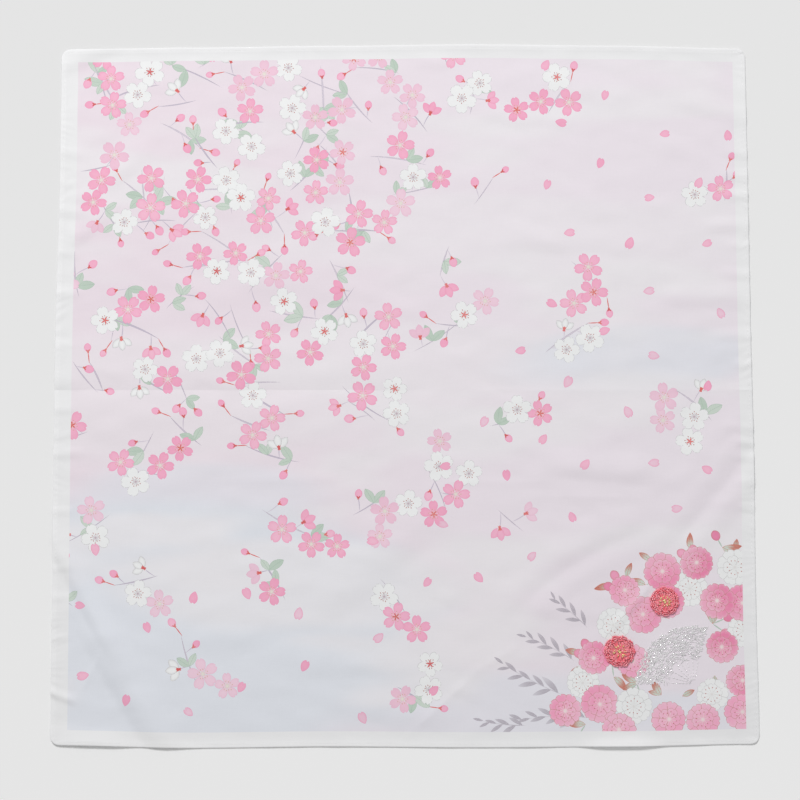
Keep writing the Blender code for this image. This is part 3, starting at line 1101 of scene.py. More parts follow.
def autumn_leaves(random, x, y, heading, base):
    """One to three pointed leaves, green at their base and rust towards the tip."""
    leaves = []
    for _ in range(random.integers(1, MOST_AUTUMN_LEAVES + 1)):
        outward = heading + random.uniform(*AUTUMN_TURN)
        size = random.uniform(*LEAF_LENGTH)
        green = pick(random, LEAF_GREEN)
        bend = random.uniform(*AUTUMN_BEND)
        leaves.append(Motif(*turned(x, y, outward, base), outward, size, size * AUTUMN_WIDTH, AUTUMN_LEAF,
                            green, RUST, bend=bend))
    return leaves


def rose_buds(random, x, y, heading, leans):
    """Round pink buds on short green stalks that spread from one place."""
    parts = []
    for lean in leans:
        outward = heading + lean
        stalk = random.uniform(*ROSE_STALK_LENGTH)
        fill = pick(random, ROSETTE_PINK)
        parts.append(Motif(x, y, outward, stalk + ROSE_STALK_OVERLAP, ROSE_STALK_WIDTH, PLAIN,
                           LEAF_GREEN[1], LEAF_VEIN))
        parts.append(Motif(*turned(x, y, outward, stalk), outward, ROSE_BUD_LENGTH, ROSE_BUD_WIDTH, PETAL,
                           fill, ROSETTE_EDGE))
    return parts


def garland():
    """The printed rosettes of the decorated corner, with leaves and buds round and between them."""
    random = np.random.default_rng(GARLAND_SEED)
    leaves, flowers, white_places = [], [], []
    middles = scattered(random, ROSETTE_TRIES, lambda x, y: ROSETTE_SPACING, in_corner)
    for x, y in middles:
        outward = math.atan2(y - CLEARING_Y, x - CLEARING_X)
        size = random.uniform(*ROSETTE_RADIUS)
        draw = random.uniform()
        white = draw < WHITE_CHANCE and free_place(white_places, x, y, WHITE_SPACING)
        flowers += rosette(random, x, y, size, white)
        if draw > LEAVES_ABOVE:
            leaves += autumn_leaves(random, x, y, outward, size * LEAVES_START)
        if draw > BUDS_ABOVE:
            leaves += rose_buds(random, x, y, outward + random.uniform(*BUDS_TURN), BUDS_LEANS)

    def fits(x, y):
        return in_corner(x, y) and np.hypot(*(middles - (x, y)).T).min() > FILLING_FROM_ROSETTES

    for x, y in scattered(random, FILLING_TRIES, lambda x, y: FILLING_SPACING, fits):
        outward = math.atan2(y - CLEARING_Y, x - CLEARING_X)
        side = random.choice(EITHER_SIDE)
        leaves += autumn_leaves(random, x, y, outward + side * random.uniform(*FILLING_TURN), 0)
        heading = outward - side * random.uniform(*FILLING_TURN)
        leaves += rose_buds(random, x, y, heading, FILLING_BUD_LEANS[:random.integers(3)])
    return leaves + flowers


# The grey sprays' stems
SPRAYS = (
    # x, y, heading in degrees, leaves, length of the longest
    (112, -200, 172, 9, 13),
    (96, -186, 158, 9, 13),
    (104, -166, 146, 8, 12),
    (112, -146, 134, 7, 11),
    (74, -204, 182, 7, 11),
)
SPRAY_BEND, SPRAY_STEM_WIDTH = (-0.006, 0.006), 0.7

# Leaves up a spray: their spacing as a share of the longest one's length, the first one's place in that
# spacing, their lean and length, and how much of each is gone at the spray's tip
SPRAY_LEAF_SPACING, FIRST_SPRAY_LEAF = 0.36, 0.6
SPRAY_LEAF_LEAN, LEAN_LOSS = (0.45, 0.65), 0.5
SPRAY_LEAF_LENGTH, LENGTH_LOSS = (0.85, 1.1), 0.45
SPRAY_LEAF_WIDTH, SPRAY_LEAF_BEND = 0.25, 0.01


def grey_sprays():
    """Slender speckled grey sprays, leaves on either side of a stem, beside the garland."""
    random = np.random.default_rng(SPRAY_SEED)
    look = (GREY_LEAF, LEAF_GREY, LEAF_GREY)
    sprays = []
    for x, y, heading, count, longest in SPRAYS:
        turn = math.radians(heading)
        bend = random.uniform(*SPRAY_BEND)
        step = longest * SPRAY_LEAF_SPACING
        sprays.append(Motif(x, y, turn, step * count, SPRAY_STEM_WIDTH, *look, bend=bend))
        for number in range(count):
            along = step * (number + FIRST_SPRAY_LEAF)
            place = turned(x, y, turn, along, bend * along * along)
            side = 1 if number % 2 else -1
            outward = turn + side * random.uniform(*SPRAY_LEAF_LEAN) * (1 - LEAN_LOSS * number / count)
            size = longest * (1 - LENGTH_LOSS * number / count) * random.uniform(*SPRAY_LEAF_LENGTH)
            sprays.append(Motif(*place, outward, size, size * SPRAY_LEAF_WIDTH, *look, bend=SPRAY_LEAF_BEND))
    return sprays


def whole_print():
    """All the motifs, lowest first."""
    low, middle, high = tossed_sprigs()
    return low + middle + high + loose_petals() + grey_sprays() + garland()


# The cloth's material

GROUND_PINK = dye(241, 229, 237)
GROUND_PALE = dye(242, 234, 241)
GROUND_BLUE = dye(232, 235, 242)
GROUND_MILK = dye(243, 240, 243)
COTTON_WHITE = dye(243, 243, 244)
HEM_WHITE = dye(245, 245, 246)

# Between these places along x the ground's pink goes over into the paler one
PALER_FROM, PALEST_FROM = -150.0, 110.0

# Soft ovals on the ground, whose edges slow noise breaks up, and milky bands of such noise. The noise is
# drawn out along x and read at two places. Its numbers are scale, detail and roughness.
WASHES = (
    # x, y, half width, half length, strength, colour
    (-150.0, -8.0, 150.0, 58.0, 0.45, GROUND_MILK),
    (50.0, 100.0, 230.0, 30.0, 0.45, GROUND_MILK),
    (0.0, 22.0, 150.0, 28.0, 0.45, GROUND_MILK),
    (-150.0, -150.0, 205.0, 112.0, 1.0, GROUND_BLUE),
    (-120.0, -62.0, 110.0, 26.0, 0.55, GROUND_BLUE),
    (50.0, -195.0, 100.0, 30.0, 0.6, GROUND_BLUE),
    (-50.0, -120.0, 105.0, 30.0, 0.7, GROUND_MILK),
    (155.0, 18.0, 95.0, 26.0, 0.75, GROUND_BLUE),
    (185.0, -210.0, 90.0, 24.0, 0.6, GROUND_BLUE),
)
WASH_FADE, WASH_BREAK = (0.62, 1.0), 1.4
SLOW_STRETCH = (0.0042, 0.0150, 1.0)
BREAK_PLACE, BREAK_NOISE = (3.1, 5.4, 0.0), (1.0, 1.5, 0.45)
BAND_PLACE, BAND_NOISE, BAND_FADE, BAND_STRENGTH = (9.3, 2.2, 4.0), (1.6, 2.0, 0.5), (0.50, 0.68), 0.75


def ground_colour(finish, flat):
    """The printed ground: pink, with soft ovals of milk and of blue, the largest at the near left, and
    milky bands."""
    x, y, _ = finish.parts(flat)
    stretched = finish.vector("MULTIPLY", flat, SLOW_STRETCH)
    breaks = finish.noise(finish.vector("ADD", stretched, BREAK_PLACE), *BREAK_NOISE)
    bands = finish.noise(finish.vector("ADD", stretched, BAND_PLACE), *BAND_NOISE)
    ground = finish.blend(finish.rise(x, PALER_FROM, PALEST_FROM), GROUND_PINK, GROUND_PALE)
    for middle_x, middle_y, half_width, half_length, strength, colour in WASHES:
        across, up = (x - middle_x) / half_width, (y - middle_y) / half_length
        outward = finish.sqrt(across * across + up * up) + (breaks - 0.5) * WASH_BREAK
        ground = finish.blend(strength - finish.rise(outward, *WASH_FADE) * strength, ground, colour)
    return finish.blend(finish.rise(bands, *BAND_FADE) * BAND_STRENGTH, ground, GROUND_MILK)


def is_kind(kind, first, last):
    """1 where a kind is one of those from first to last, and 0 elsewhere."""
    return (kind > first - 0.5) * (kind < last + 0.5)


FAR_OFF = 50.0


def topmost_motif(finish, flat, ground):
    """Draws the motifs of a face over the ground, the topmost last. Returns the colour of what shows,
    the colour of its line, its kind, how far and which way from its middle and outside its edge it is,
    and how far from the line between two petals."""
    fill, line = ground, ground
    where = (FAR_OFF, 0.0, -FAR_OFF)
    kind = (0.0, 0.0, 0.0)
    between = (FAR_OFF, 0.0, 0.0)
    for layer in reversed(range(LAYERS)):
        place, form, curve, its_fill, its_line = (
            finish.attribute(f"motif_{layer}_{name}") for name in MOTIF_PARTS)
        _, _, turn = finish.parts(place)
        half_sector, start, waist = finish.parts(form)
        radius, bend, its_kind = finish.parts(curve)
        local = {"Vector": finish.vector("SUBTRACT", flat, place), "Angle": turn}
        local = finish.node("ShaderNodeVectorRotate", {"rotation_type": "Z_AXIS"}, local)
        x, y, _ = finish.parts(local)
        flowering = is_kind(its_kind, BLOSSOM, LOOSE_PETAL)
        ringed = is_kind(its_kind, WHITE_ROSETTE, LOOSE_PETAL)
        distance, reach, heading, aside = petal_distance(
            finish, x, y, half_sector, start, radius, waist, bend, flowering, ringed)
        shows = distance < 0
        fill = finish.blend(shows, fill, its_fill)
        line = finish.blend(shows, line, its_line)
        kind = finish.blend(shows, kind, curve)
        where = finish.blend(shows, where, finish.joined(reach, heading, distance))
        between = finish.blend(shows, between, finish.joined(reach * finish.sin(half_sector - aside), 0, 0))
    return fill, line, finish.parts(kind)[2], finish.parts(where), finish.parts(between)[0]


# The stamens of a flower: the number and reach of their rays, which is more in a rosette, half the width
# of a ray, how its reach sways from ray to ray, and the dot beyond its end. Then the middle of a flower.
RAYS, RAY_REACH, ROSETTE_RAY_MORE, RAY_HALF_WIDTH = 12, 2.3, 1.5, 0.13
SWAY, SWAYS, SWAY_SHIFT = 0.5, 5, 1.3
DOT_BEYOND, DOT_RADIUS = 0.4, 0.34
MIDDLE_FADES_FROM, MIDDLE_ENDS, WHITE_MIDDLE_LESS = 0.5, 1.8, 0.9
MIDDLE_STRENGTH, RAY_STRENGTH, DOT_STRENGTH = 0.9, 0.75, 0.85

# Their colours in a pink blossom, a white blossom, a pink rosette and a white rosette
RAY_COLOURS = (dye(246, 234, 226), dye(204, 188, 196), dye(246, 234, 226), dye(232, 230, 228))
DOT_COLOURS = (dye(222, 178, 150), dye(186, 110, 102), dye(190, 106, 98), dye(190, 106, 98))
MIDDLE_COLOURS = (dye(216, 222, 206), dye(196, 176, 186), dye(250, 216, 229), dye(240, 236, 236))


def heart_colour(finish, colour, kind, reach, heading):
    """The stamens of a flower: thin rays, each with a dot near its end, round a pale middle."""
    large = is_kind(kind, WHITE_ROSETTE, ROSETTE)
    white = is_kind(kind, WHITE_BLOSSOM, WHITE_ROSETTE)
    flower = is_kind(kind, BLOSSOM, ROSETTE)

    def its_own(colours):
        pink_blossom, white_blossom, pink_rosette, white_rosette = colours
        small_colour = finish.blend(white, pink_blossom, white_blossom)
        return finish.blend(large, small_colour, finish.blend(white, pink_rosette, white_rosette))

    ray = finish.pingpong(heading, math.pi / RAYS)
    aside = reach * finish.sin(ray)
    end = RAY_REACH + large * ROSETTE_RAY_MORE + SWAY * finish.sin(heading * SWAYS + SWAY_SHIFT)
    rays = (aside < RAY_HALF_WIDTH) * (reach < end) * flower
    middle = (1 - finish.rise(reach, MIDDLE_FADES_FROM, MIDDLE_ENDS - white * WHITE_MIDDLE_LESS)) * flower
    beyond = reach * finish.cos(ray) - (end + DOT_BEYOND)
    dots = (finish.sqrt(beyond * beyond + aside * aside) < DOT_RADIUS) * flower
    colour = finish.blend(middle * MIDDLE_STRENGTH, colour, its_own(MIDDLE_COLOURS))
    colour = finish.blend(rays * RAY_STRENGTH, colour, its_own(RAY_COLOURS))
    return finish.blend(dots * DOT_STRENGTH, colour, its_own(DOT_COLOURS))


# A petal's deeper rim, and the cleft between two petals from this far out
RIM_FADE, RIM_STRENGTH = (-1.5, -0.1), 0.35
CLEFT_FADE, CLEFT_FROM, CLEFT_STRENGTH = (0.1, 1.1), 1.8, 0.45


def petal_shade(finish, colour, line, kind, reach, distance, between):
    """The washes of colour in a petal: deeper at its edges and towards the middle of the flower."""
    pink = is_kind(kind, PETAL, BLOSSOM) + is_kind(kind, LOOSE_PETAL, LOOSE_PETAL)
    rim = finish.rise(distance, *RIM_FADE) * pink
    cleft = (1 - finish.rise(between, *CLEFT_FADE)) * (reach > CLEFT_FROM) * is_kind(kind, BLOSSOM, BLOSSOM)
    return finish.blend(finish.most(rim * RIM_STRENGTH, cleft * CLEFT_STRENGTH), colour, line)


# The rust of an autumn leaf along its length, and the veins of every leaf
RUST_FADE, RUST_STRENGTH, RUST_VEIN = (3.5, 9.0), 0.85, dye(186, 92, 82)
MIDRIB_HALF_WIDTH, MIDRIB_STRENGTH = 0.13, 0.7
VEIN_SLANT, VEIN_HALF_SPACING, VEIN_HALF_WIDTH, VEIN_STRENGTH = 1.1, 0.8, 0.12, 0.3


def leaf_colour(finish, colour, line, kind, reach, heading):
    """A leaf's midrib and veins, and the rust that runs in from the tip of an autumn one."""
    along, aside = reach * finish.cos(heading), reach * finish.sin(heading)
    across = finish.sqrt(aside * aside)
    rust = finish.rise(along + across, *RUST_FADE) * is_kind(kind, AUTUMN_LEAF, AUTUMN_LEAF)
    colour = finish.blend(rust * RUST_STRENGTH, colour, RUST)
    from_vein = finish.pingpong(along - across * VEIN_SLANT, VEIN_HALF_SPACING)
    side_veins = (from_vein < VEIN_HALF_WIDTH) * VEIN_STRENGTH
    midrib = (across < MIDRIB_HALF_WIDTH) * MIDRIB_STRENGTH
    veins = (midrib + side_veins) * is_kind(kind, LEAF, AUTUMN_LEAF)
    return finish.blend(veins, colour, finish.blend(rust, line, RUST_VEIN))


# How a pink rosette pales across it and at the rim of each petal
PALE_ACROSS, PALE_ACROSS_STRENGTH = (-8.0, 8.0), 0.55
PALE_RIM, PALE_RIM_STRENGTH = (-1.8, -0.2), 0.30


def rosette_colour(finish, colour, kind, reach, heading, distance):
    """A pink rosette pales towards one side and towards the edge of each petal."""
    aslant = finish.rise(reach * finish.cos(heading), *PALE_ACROSS) * PALE_ACROSS_STRENGTH
    rim = finish.rise(distance, *PALE_RIM) * PALE_RIM_STRENGTH
    return finish.blend((aslant + rim) * is_kind(kind, ROSETTE, RING), colour, ROSETTE_PALE)


# The printed line along a motif's edge, and between the petals of a rosette from this far out. Noise
# breaks both up, less in a rosette.
EDGE_FADE, SEAM_HALF_WIDTH, SEAM_FROM, LINE_STRENGTH = (-0.32, -0.12), 0.15, 1.6, 0.85
WORN_NOISE, WORN_FADE, ROSETTE_LESS_WORN = (0.9, 1.0, 0.5), (0.38, 0.50), 0.08

# The speckles of a grey leaf, how it fades along its length, and the slight mottle of the whole print
SPECKLE_NOISE, SPECKLE_FADE, SPECKLE_STRENGTH = (2.6, 1.0, 0.5), (0.45, 0.62), 0.5
GREY_FADE, GREY_FADE_STRENGTH = (3.0, 13.0), 0.7
MOTTLE_NOISE, MOTTLE_FADE, MOTTLE_STRENGTH = (0.35, 3.0, 0.6), (0.35, 0.8), 0.10


def print_colour(finish, flat):
    """The colour of the printed cloth."""
    ground = ground_colour(finish, flat)
    fill, line, kind, (reach, heading, distance), between = topmost_motif(finish, flat, ground)
    colour = leaf_colour(finish, fill, line, kind, reach, heading)
    colour = rosette_colour(finish, colour, kind, reach, heading, distance)
    colour = petal_shade(finish, colour, line, kind, reach, distance, between)
    full = is_kind(kind, WHITE_ROSETTE, WHITE_RING)
    seam = (between < SEAM_HALF_WIDTH) * (reach > SEAM_FROM) * full
    kept = finish.rise(finish.noise(flat, *WORN_NOISE) + full * ROSETTE_LESS_WORN, *WORN_FADE)
    outline = finish.most(finish.rise(distance, *EDGE_FADE), seam) * kept
    colour = finish.blend(outline * LINE_STRENGTH, colour, line)
    colour = heart_colour(finish, colour, kind, reach, heading)
    speckle = finish.rise(finish.noise(flat, *SPECKLE_NOISE), *SPECKLE_FADE) * SPECKLE_STRENGTH
    faded = finish.most(speckle, finish.rise(reach, *GREY_FADE) * GREY_FADE_STRENGTH)
    colour = finish.blend(faded * is_kind(kind, GREY_LEAF, GREY_LEAF), colour, ground)
    mottle = finish.rise(finish.noise(flat, *MOTTLE_NOISE), *MOTTLE_FADE) * MOTTLE_STRENGTH
    return finish.blend(mottle, colour, ground)


# The softness of the print's outer edge, and where the hem's inner edge begins and ends
PRINT_SOFTNESS = 0.25
HEM_FADE = (2.9, 3.2)


def inside_print(finish, flat):
    x, y, _ = finish.parts(flat)

    def between(value, low, high):
        rising = finish.rise(value, low, low + PRINT_SOFTNESS)
        return rising * (1 - finish.rise(value, high - PRINT_SOFTNESS, high))

    return between(x, PRINT_LEFT, PRINT_RIGHT) * between(y, PRINT_NEAR, PRINT_FAR)


def inside_hem(finish, flat):
    """The hem's three layers, which let less of the table show through."""
    x, y, _ = finish.parts(flat)
    inset = finish.least(HALF_WIDTH - finish.sqrt(x * x), HALF_LENGTH - finish.sqrt(y * y))
    return 1 - finish.rise(inset, *HEM_FADE)


# Slubs in the threads of both directions, as noise drawn out along them, and the cloth's fine ripples.
# The heights of the weave and of the ripples are shares of the slubs' own.
SLUB_STRETCHES, SLUB_NOISE = ((0.12, 2.6, 1.0), (2.8, 0.10, 1.0)), (1.0, 2.0, 0.6)
RIPPLE_STRETCH, RIPPLE_NOISE = (0.07, 0.17, 1.0), (1.0, 2.0, 0.5)
SLUB_SHADE = 0.07
LAWN_ROUGHNESS, SLUB_ROUGHNESS = 0.80, 0.12
THREAD_PITCH = 0.28
WEAVE_HEIGHT, RIPPLE_HEIGHT = 0.18, 1.6
LAWN_BUMP, LAWN_DEPTH = 0.35, 0.12 * MM
UNDERSIDE_PALER = 0.5


def cotton_lawn():
    """Thin plain-woven cotton, printed, with the print paler on the underside."""
    finish = Finish("printed_lawn", Specular_IOR_Level=0.25)
    flat = finish.attribute("laid_flat")
    under = finish.attribute("underside", 2)
    colour = finish.blend(under * UNDERSIDE_PALER, print_colour(finish, flat), COTTON_WHITE)
    colour = finish.blend(inside_print(finish, flat), COTTON_WHITE, colour)
    colour = finish.blend(inside_hem(finish, flat), colour, HEM_WHITE)
    across, along = (finish.noise(finish.vector("MULTIPLY", flat, stretch), *SLUB_NOISE)
                     for stretch in SLUB_STRETCHES)
    threads = across * 0.5 + along * 0.5
    finish.feed("Base Color", finish.scaled(colour, 1 - (threads - 0.5) * SLUB_SHADE))
    finish.feed("Roughness", LAWN_ROUGHNESS + threads * SLUB_ROUGHNESS)
    x, y, _ = finish.parts(flat)
    weave = finish.sin(x * (2 * math.pi / THREAD_PITCH)) * finish.sin(y * (2 * math.pi / THREAD_PITCH))
    ripples = finish.noise(finish.vector("MULTIPLY", flat, RIPPLE_STRETCH), *RIPPLE_NOISE)
    finish.bump(threads + weave * WEAVE_HEIGHT + ripples * RIPPLE_HEIGHT, LAWN_BUMP, LAWN_DEPTH)
    return finish.material


# Threads

# A thread's thickness at its ends as a share of its own. Its twist is a wave that goes on by this many
# radians for each millimetre along it, and it has a ridge for each strand.
END_SHARE = 0.55
TWIST_ALONG, STRANDS = 9.0, 2
TWIST_BUMP, TWIST_DEPTH, FOIL_DEPTH = 0.35, 0.06 * MM, 0.20 * MM
# How far each stitch's random tone goes towards its darker colour, and the painted shade that darkens the
# grooves between the strands of its twist
TONE_SHADE, GROOVE_PAINTED_SHADE = 0.7, 0.15

# Each thread's main colour and the darker one that its random tone and the painted shade in its twist's
# grooves go towards, then the radii
COTTON_THREAD = dye(253, 253, 252), dye(246, 246, 247)
ROSE_THREAD = dye(255, 172, 184), dye(255, 96, 114)
GOLD_THREAD = dye(255, 244, 190), dye(255, 224, 150)
SILVER_THREAD = dye(255, 255, 255), dye(255, 252, 254)
COTTON_RADIUS, SATIN_RADIUS, KNOT_RADIUS, GOLD_RADIUS, SILVER_RADIUS = 0.11, 0.30, 0.46, 0.22, 0.18


def thread_mesh(name, paths, radius, sides=5):
    """Joins many short threads into one mesh. paths holds, for each thread, its points in metres. Each
    end is drawn in, and the mesh carries each thread's length run, way round and own tone."""
    threads, steps, _ = paths.shape
    ahead = np.gradient(paths, axis=1)
    ahead /= np.linalg.norm(ahead, axis=2, keepdims=True)
    beside = np.cross(ahead, (0, 0, 1))
    beside /= np.linalg.norm(beside, axis=2, keepdims=True)
    over = np.cross(beside, ahead)
    shrink = np.ones(steps)
    shrink[0] = shrink[-1] = END_SHARE
    turns = np.arange(sides) * 2 * np.pi / sides
    ring = beside[:, :, None] * np.cos(turns)[:, None] + over[:, :, None] * np.sin(turns)[:, None]
    thickness = np.broadcast_to(np.asarray(radius) * MM, threads)[:, None] * shrink
    points = paths[:, :, None] + ring * thickness[:, :, None, None]
    first = np.arange(threads)[:, None, None] * steps * sides
    step = np.arange(steps - 1)[None, :, None] * sides
    side, after = np.arange(sides), (np.arange(sides) + 1) % sides
    low, high = first + step + side, first + step + after
    quads = np.stack((low, high, high + sides, low + sides), axis=-1).reshape(-1, 4)
    start_caps = (first[:, 0] + side[::-1]).reshape(-1, sides)
    end_caps = (first[:, 0] + (steps - 1) * sides + side).reshape(-1, sides)
    mesh = bpy.data.meshes.new(name)
    faces = quads.tolist() + start_caps.tolist() + end_caps.tolist()
    mesh.from_pydata(points.reshape(-1, 3).tolist(), [], faces)
    run = np.linalg.norm(np.diff(paths, axis=1), axis=2).cumsum(axis=1) / MM
    run = np.concatenate((np.zeros((threads, 1)), run), axis=1)
    tones = np.random.default_rng(len(paths)).uniform(0, 1, threads)
    marks = np.zeros((threads, steps, sides, 3))
    marks[..., 0] = run[:, :, None]
    marks[..., 1] = turns
    marks[..., 2] = tones[:, None, None]
    carry(mesh, "thread", "POINT", marks.reshape(-1, 3))
    mesh.shade_smooth()
    piece = bpy.data.objects.new(name, mesh)
    bpy.context.scene.collection.objects.link(piece)
    return piece


def thread_finish(name, colour, dark, foil=0.0, twist_depth=TWIST_DEPTH, **constants):
    """Twisted sewing or embroidery thread, its tone a little different from stitch to stitch, with painted
    shade darkening the grooves of its twist. Foil is the share of stitches whose metal side is up."""
    finish = Finish(name, **constants)
    run, around, tone = finish.parts(finish.attribute("thread"))
    twist = finish.sin(run * TWIST_ALONG + around * STRANDS)
    # The stitch's own random tone, plus painted shade in the grooves of the twist
    finish.feed("Base Color", finish.blend(tone * TONE_SHADE + (1 - twist) * GROOVE_PAINTED_SHADE, colour, dark))
    if foil:
        finish.feed("Metallic", tone < foil)
    finish.bump(twist, TWIST_BUMP, twist_depth)
    return finish.material


def stitched(x, y, lift):
    """Points of threads that lie on the cloth's face over flat places, raised by lift in millimetres."""
    points = lay(x, y)
    points[..., 2] += np.asarray(lift) * MM
    return points


# Where the points of a short stitch lie along it
SHORT_STITCH = np.array((-0.5, -0.2, 0.2, 0.5))


def short_stitches(x, y, angles, reach, lean, length, lift):
    """Short stitches round x, y. Each has its middle at its own angle and reach, and lies along its lean."""
    along = np.reshape(length, (-1, 1)) * SHORT_STITCH
    along_x, along_y = along * np.cos(lean)[:, None], along * np.sin(lean)[:, None]
    return stitched(x + (reach * np.cos(angles))[:, None] + along_x,
                    y + (reach * np.sin(angles))[:, None] + along_y, lift)


STITCH_SHAPE = (
    # share of the stitch, height of the thread's middle over the cloth
    (0.05, -0.10),
    (0.25, -0.02),
    (0.50, 0.01),
    (0.75, -0.02),
    (0.95, -0.10),
)


def hem_stitches():
    """The flat places of the lockstitch round the hem, and the thread's height at each."""
    shares, lifts = np.array(STITCH_SHAPE).T
    start_x, start_y = HALF_WIDTH - STITCH_LINE, HALF_LENGTH - STITCH_LINE
    pitch_x, pitch_y = stitch_pitches()
    xs, ys = [], []
    for half_run, pitch, beside, along_y in (
            (start_x, pitch_x, start_y, False), (start_y, pitch_y, start_x, True)):
        whole = math.floor(half_run / pitch)
        holes = np.arange(-whole, whole + 0.5) * pitch
        run = holes[:-1, None] + pitch * shares
        for side in (-1, 1):
            still = np.full_like(run, side * beside)
            xs.append(still if along_y else run)
            ys.append(run if along_y else still)
    return np.concatenate(xs), np.concatenate(ys), lifts


def hem_thread():
    x, y, lifts = hem_stitches()
    piece = thread_mesh("hem_thread", stitched(x, y, lifts), COTTON_RADIUS, sides=6)
    piece.data.materials.append(thread_finish("hem_thread", *COTTON_THREAD, Roughness=0.6))
    return piece


EMBROIDERED = (
    # name, x, y, radius
    ("left_embroidered_rosette", 131.0, -160.0, 9.8),
    ("right_embroidered_rosette", 159.0, -130.0, 9.0),
)

# Rings of satin stitches, which lie back between two petals and heap up in each petal. SATIN_STITCH says
# where a stitch's points lie along it, and SATIN_HEAP how much each heaps up. Every stitch strays a
# little: its angle, its two ends, its swing and its height.
EMBROIDERED_RINGS = (
    # petals, inner, outer (shares of the radius), height of its outer end, of its inner end, stitches
    (10, 0.50, 0.93, 0.15, 0.80, 90),
    (8, 0.30, 0.78, 0.65, 1.10, 66),
    (6, 0.06, 0.52, 1.00, 1.30, 44),
)
SATIN_STITCH = np.array((0, 0.33, 0.66, 1.0))
SATIN_HEAP = np.sin(np.pi * np.array((0.1, 0.397, 0.694, 1.0)))
SATIN_SCALLOP, SATIN_CROWN, SATIN_RING_TURN, SCALLOP_POWER = 0.17, 0.6, 0.3, 0.7
SATIN_ANGLE, SATIN_END, SATIN_START, SATIN_SWING, SATIN_HEIGHT = 0.03, 0.12, 0.3, 0.12, 0.05

# Rows of knots along the petals' edges, and how each knot strays: its angle, reach and lean
KNOT_ROWS = (
    # share of the radius, knots, height
    (0.95, 52, 0.45),
    (0.84, 46, 0.90),
    (0.70, 38, 1.25),
)
KNOT_LIFT, KNOT_LENGTH = np.array((-0.2, 0.1, 0.1, -0.2)), (1.2, 1.9)
SCALLOPS, KNOT_SCALLOP, KNOT_CROWN = 10, 0.11, 0.3
KNOT_ANGLE, KNOT_REACH, KNOT_LEAN = 0.04, 0.2, 0.6

# The gold stitches in the middle: their reach as shares of the radius
GOLD_STITCHES, GOLD_REACHES, GOLD_LEAN, GOLD_LENGTH = 30, (0.08, 0.30, 0.34, 0.38), 0.5, (1.0, 1.8)
GOLD_HEIGHT, GOLD_LIFT, GOLD_STRAY = 2.0, np.array((-0.2, 0.15, 0.15, -0.2)), 0.15


def either_way(random, most, shape):
    return random.uniform(-most, most, shape)


def scallop_at(angles, turn, petals):
    """Goes from 0 between two petals to 1 in the middle of each."""
    return np.abs(np.sin((angles - turn) * petals / 2)) ** SCALLOP_POWER


def rosette_stitches(x, y, radius, turn, random):
    """Rings of radial satin stitches, each ending in a scalloped edge and heaped up in each petal."""
    paths = []
    for petals, inner, outer, low, high, stitches in EMBROIDERED_RINGS:
        angles = np.arange(stitches) * 2 * np.pi / stitches + either_way(random, SATIN_ANGLE, stitches)
        scallop = scallop_at(angles, turn, petals)
        ends = radius * (outer - SATIN_SCALLOP * (1 - scallop)) + either_way(random, SATIN_END, stitches)
        starts = radius * inner + either_way(random, SATIN_START, stitches)
        reach = starts[:, None] + (ends - starts)[:, None] * SATIN_STITCH
        swing = angles[:, None] + either_way(random, SATIN_SWING, (stitches, 1)) * SATIN_STITCH
        lift = high + (low - high) * SATIN_STITCH + SATIN_CROWN * scallop[:, None] * SATIN_HEAP
        lift = lift + either_way(random, SATIN_HEIGHT, (stitches, 1))
        paths.append(stitched(x + reach * np.cos(swing), y + reach * np.sin(swing), lift))
        turn += SATIN_RING_TURN
    return np.concatenate(paths)


def knots(x, y, radius, turn, random):
    """Rows of short fat stitches along the petals' edges, which give the rosette its knobbly look."""
    paths = []
    for place, count, height in KNOT_ROWS:
        angles = np.arange(count) * 2 * np.pi / count + either_way(random, KNOT_ANGLE, count)
        scallop = scallop_at(angles, turn, SCALLOPS)
        reach = radius * (place - KNOT_SCALLOP * (1 - scallop)) + either_way(random, KNOT_REACH, count)
        lean = angles + np.pi / 2 + either_way(random, KNOT_LEAN, count)
        length = random.uniform(*KNOT_LENGTH, count)
        lift = height + KNOT_CROWN * scallop[:, None] + KNOT_LIFT
        paths.append(short_stitches(x, y, angles, reach, lean, length, lift))
    return np.concatenate(paths)


def gold_stitches(x, y, radius, random):
    """The short gold stitches in a rosette's middle, most of them in a ring."""
    angles = random.uniform(0, 2 * np.pi, GOLD_STITCHES)
    reach = radius * random.choice(GOLD_REACHES, GOLD_STITCHES)
    lean = angles + either_way(random, GOLD_LEAN, GOLD_STITCHES)
    length = random.uniform(*GOLD_LENGTH, GOLD_STITCHES)
    lift = GOLD_HEIGHT + GOLD_LIFT + random.uniform(0, GOLD_STRAY, (GOLD_STITCHES, 1))
    return short_stitches(x, y, angles, reach, lean, length, lift)


def embroidered_rosettes():
    rose = thread_finish("rose_rayon", *ROSE_THREAD, Roughness=0.28, Specular_IOR_Level=1.0)
    gold = thread_finish("gold_thread", *GOLD_THREAD, Roughness=0.3, Metallic=0.35)
    pieces = []
    for name, x, y, radius in EMBROIDERED:
        random = np.random.default_rng(int(x))
        turn = random.uniform(0, FULL_TURN)
        satin, fat = rosette_stitches(x, y, radius, turn, random), knots(x, y, radius, turn, random)
        thickness = np.repeat((SATIN_RADIUS, KNOT_RADIUS), (len(satin), len(fat)))
        petals = thread_mesh(name, np.concatenate((satin, fat)), thickness)
        petals.data.materials.append(rose)
        heart = thread_mesh(name + "_heart", gold_stitches(x, y, radius, random), GOLD_RADIUS)
        heart.data.materials.append(gold)
        pieces += [petals, heart]
    return pieces


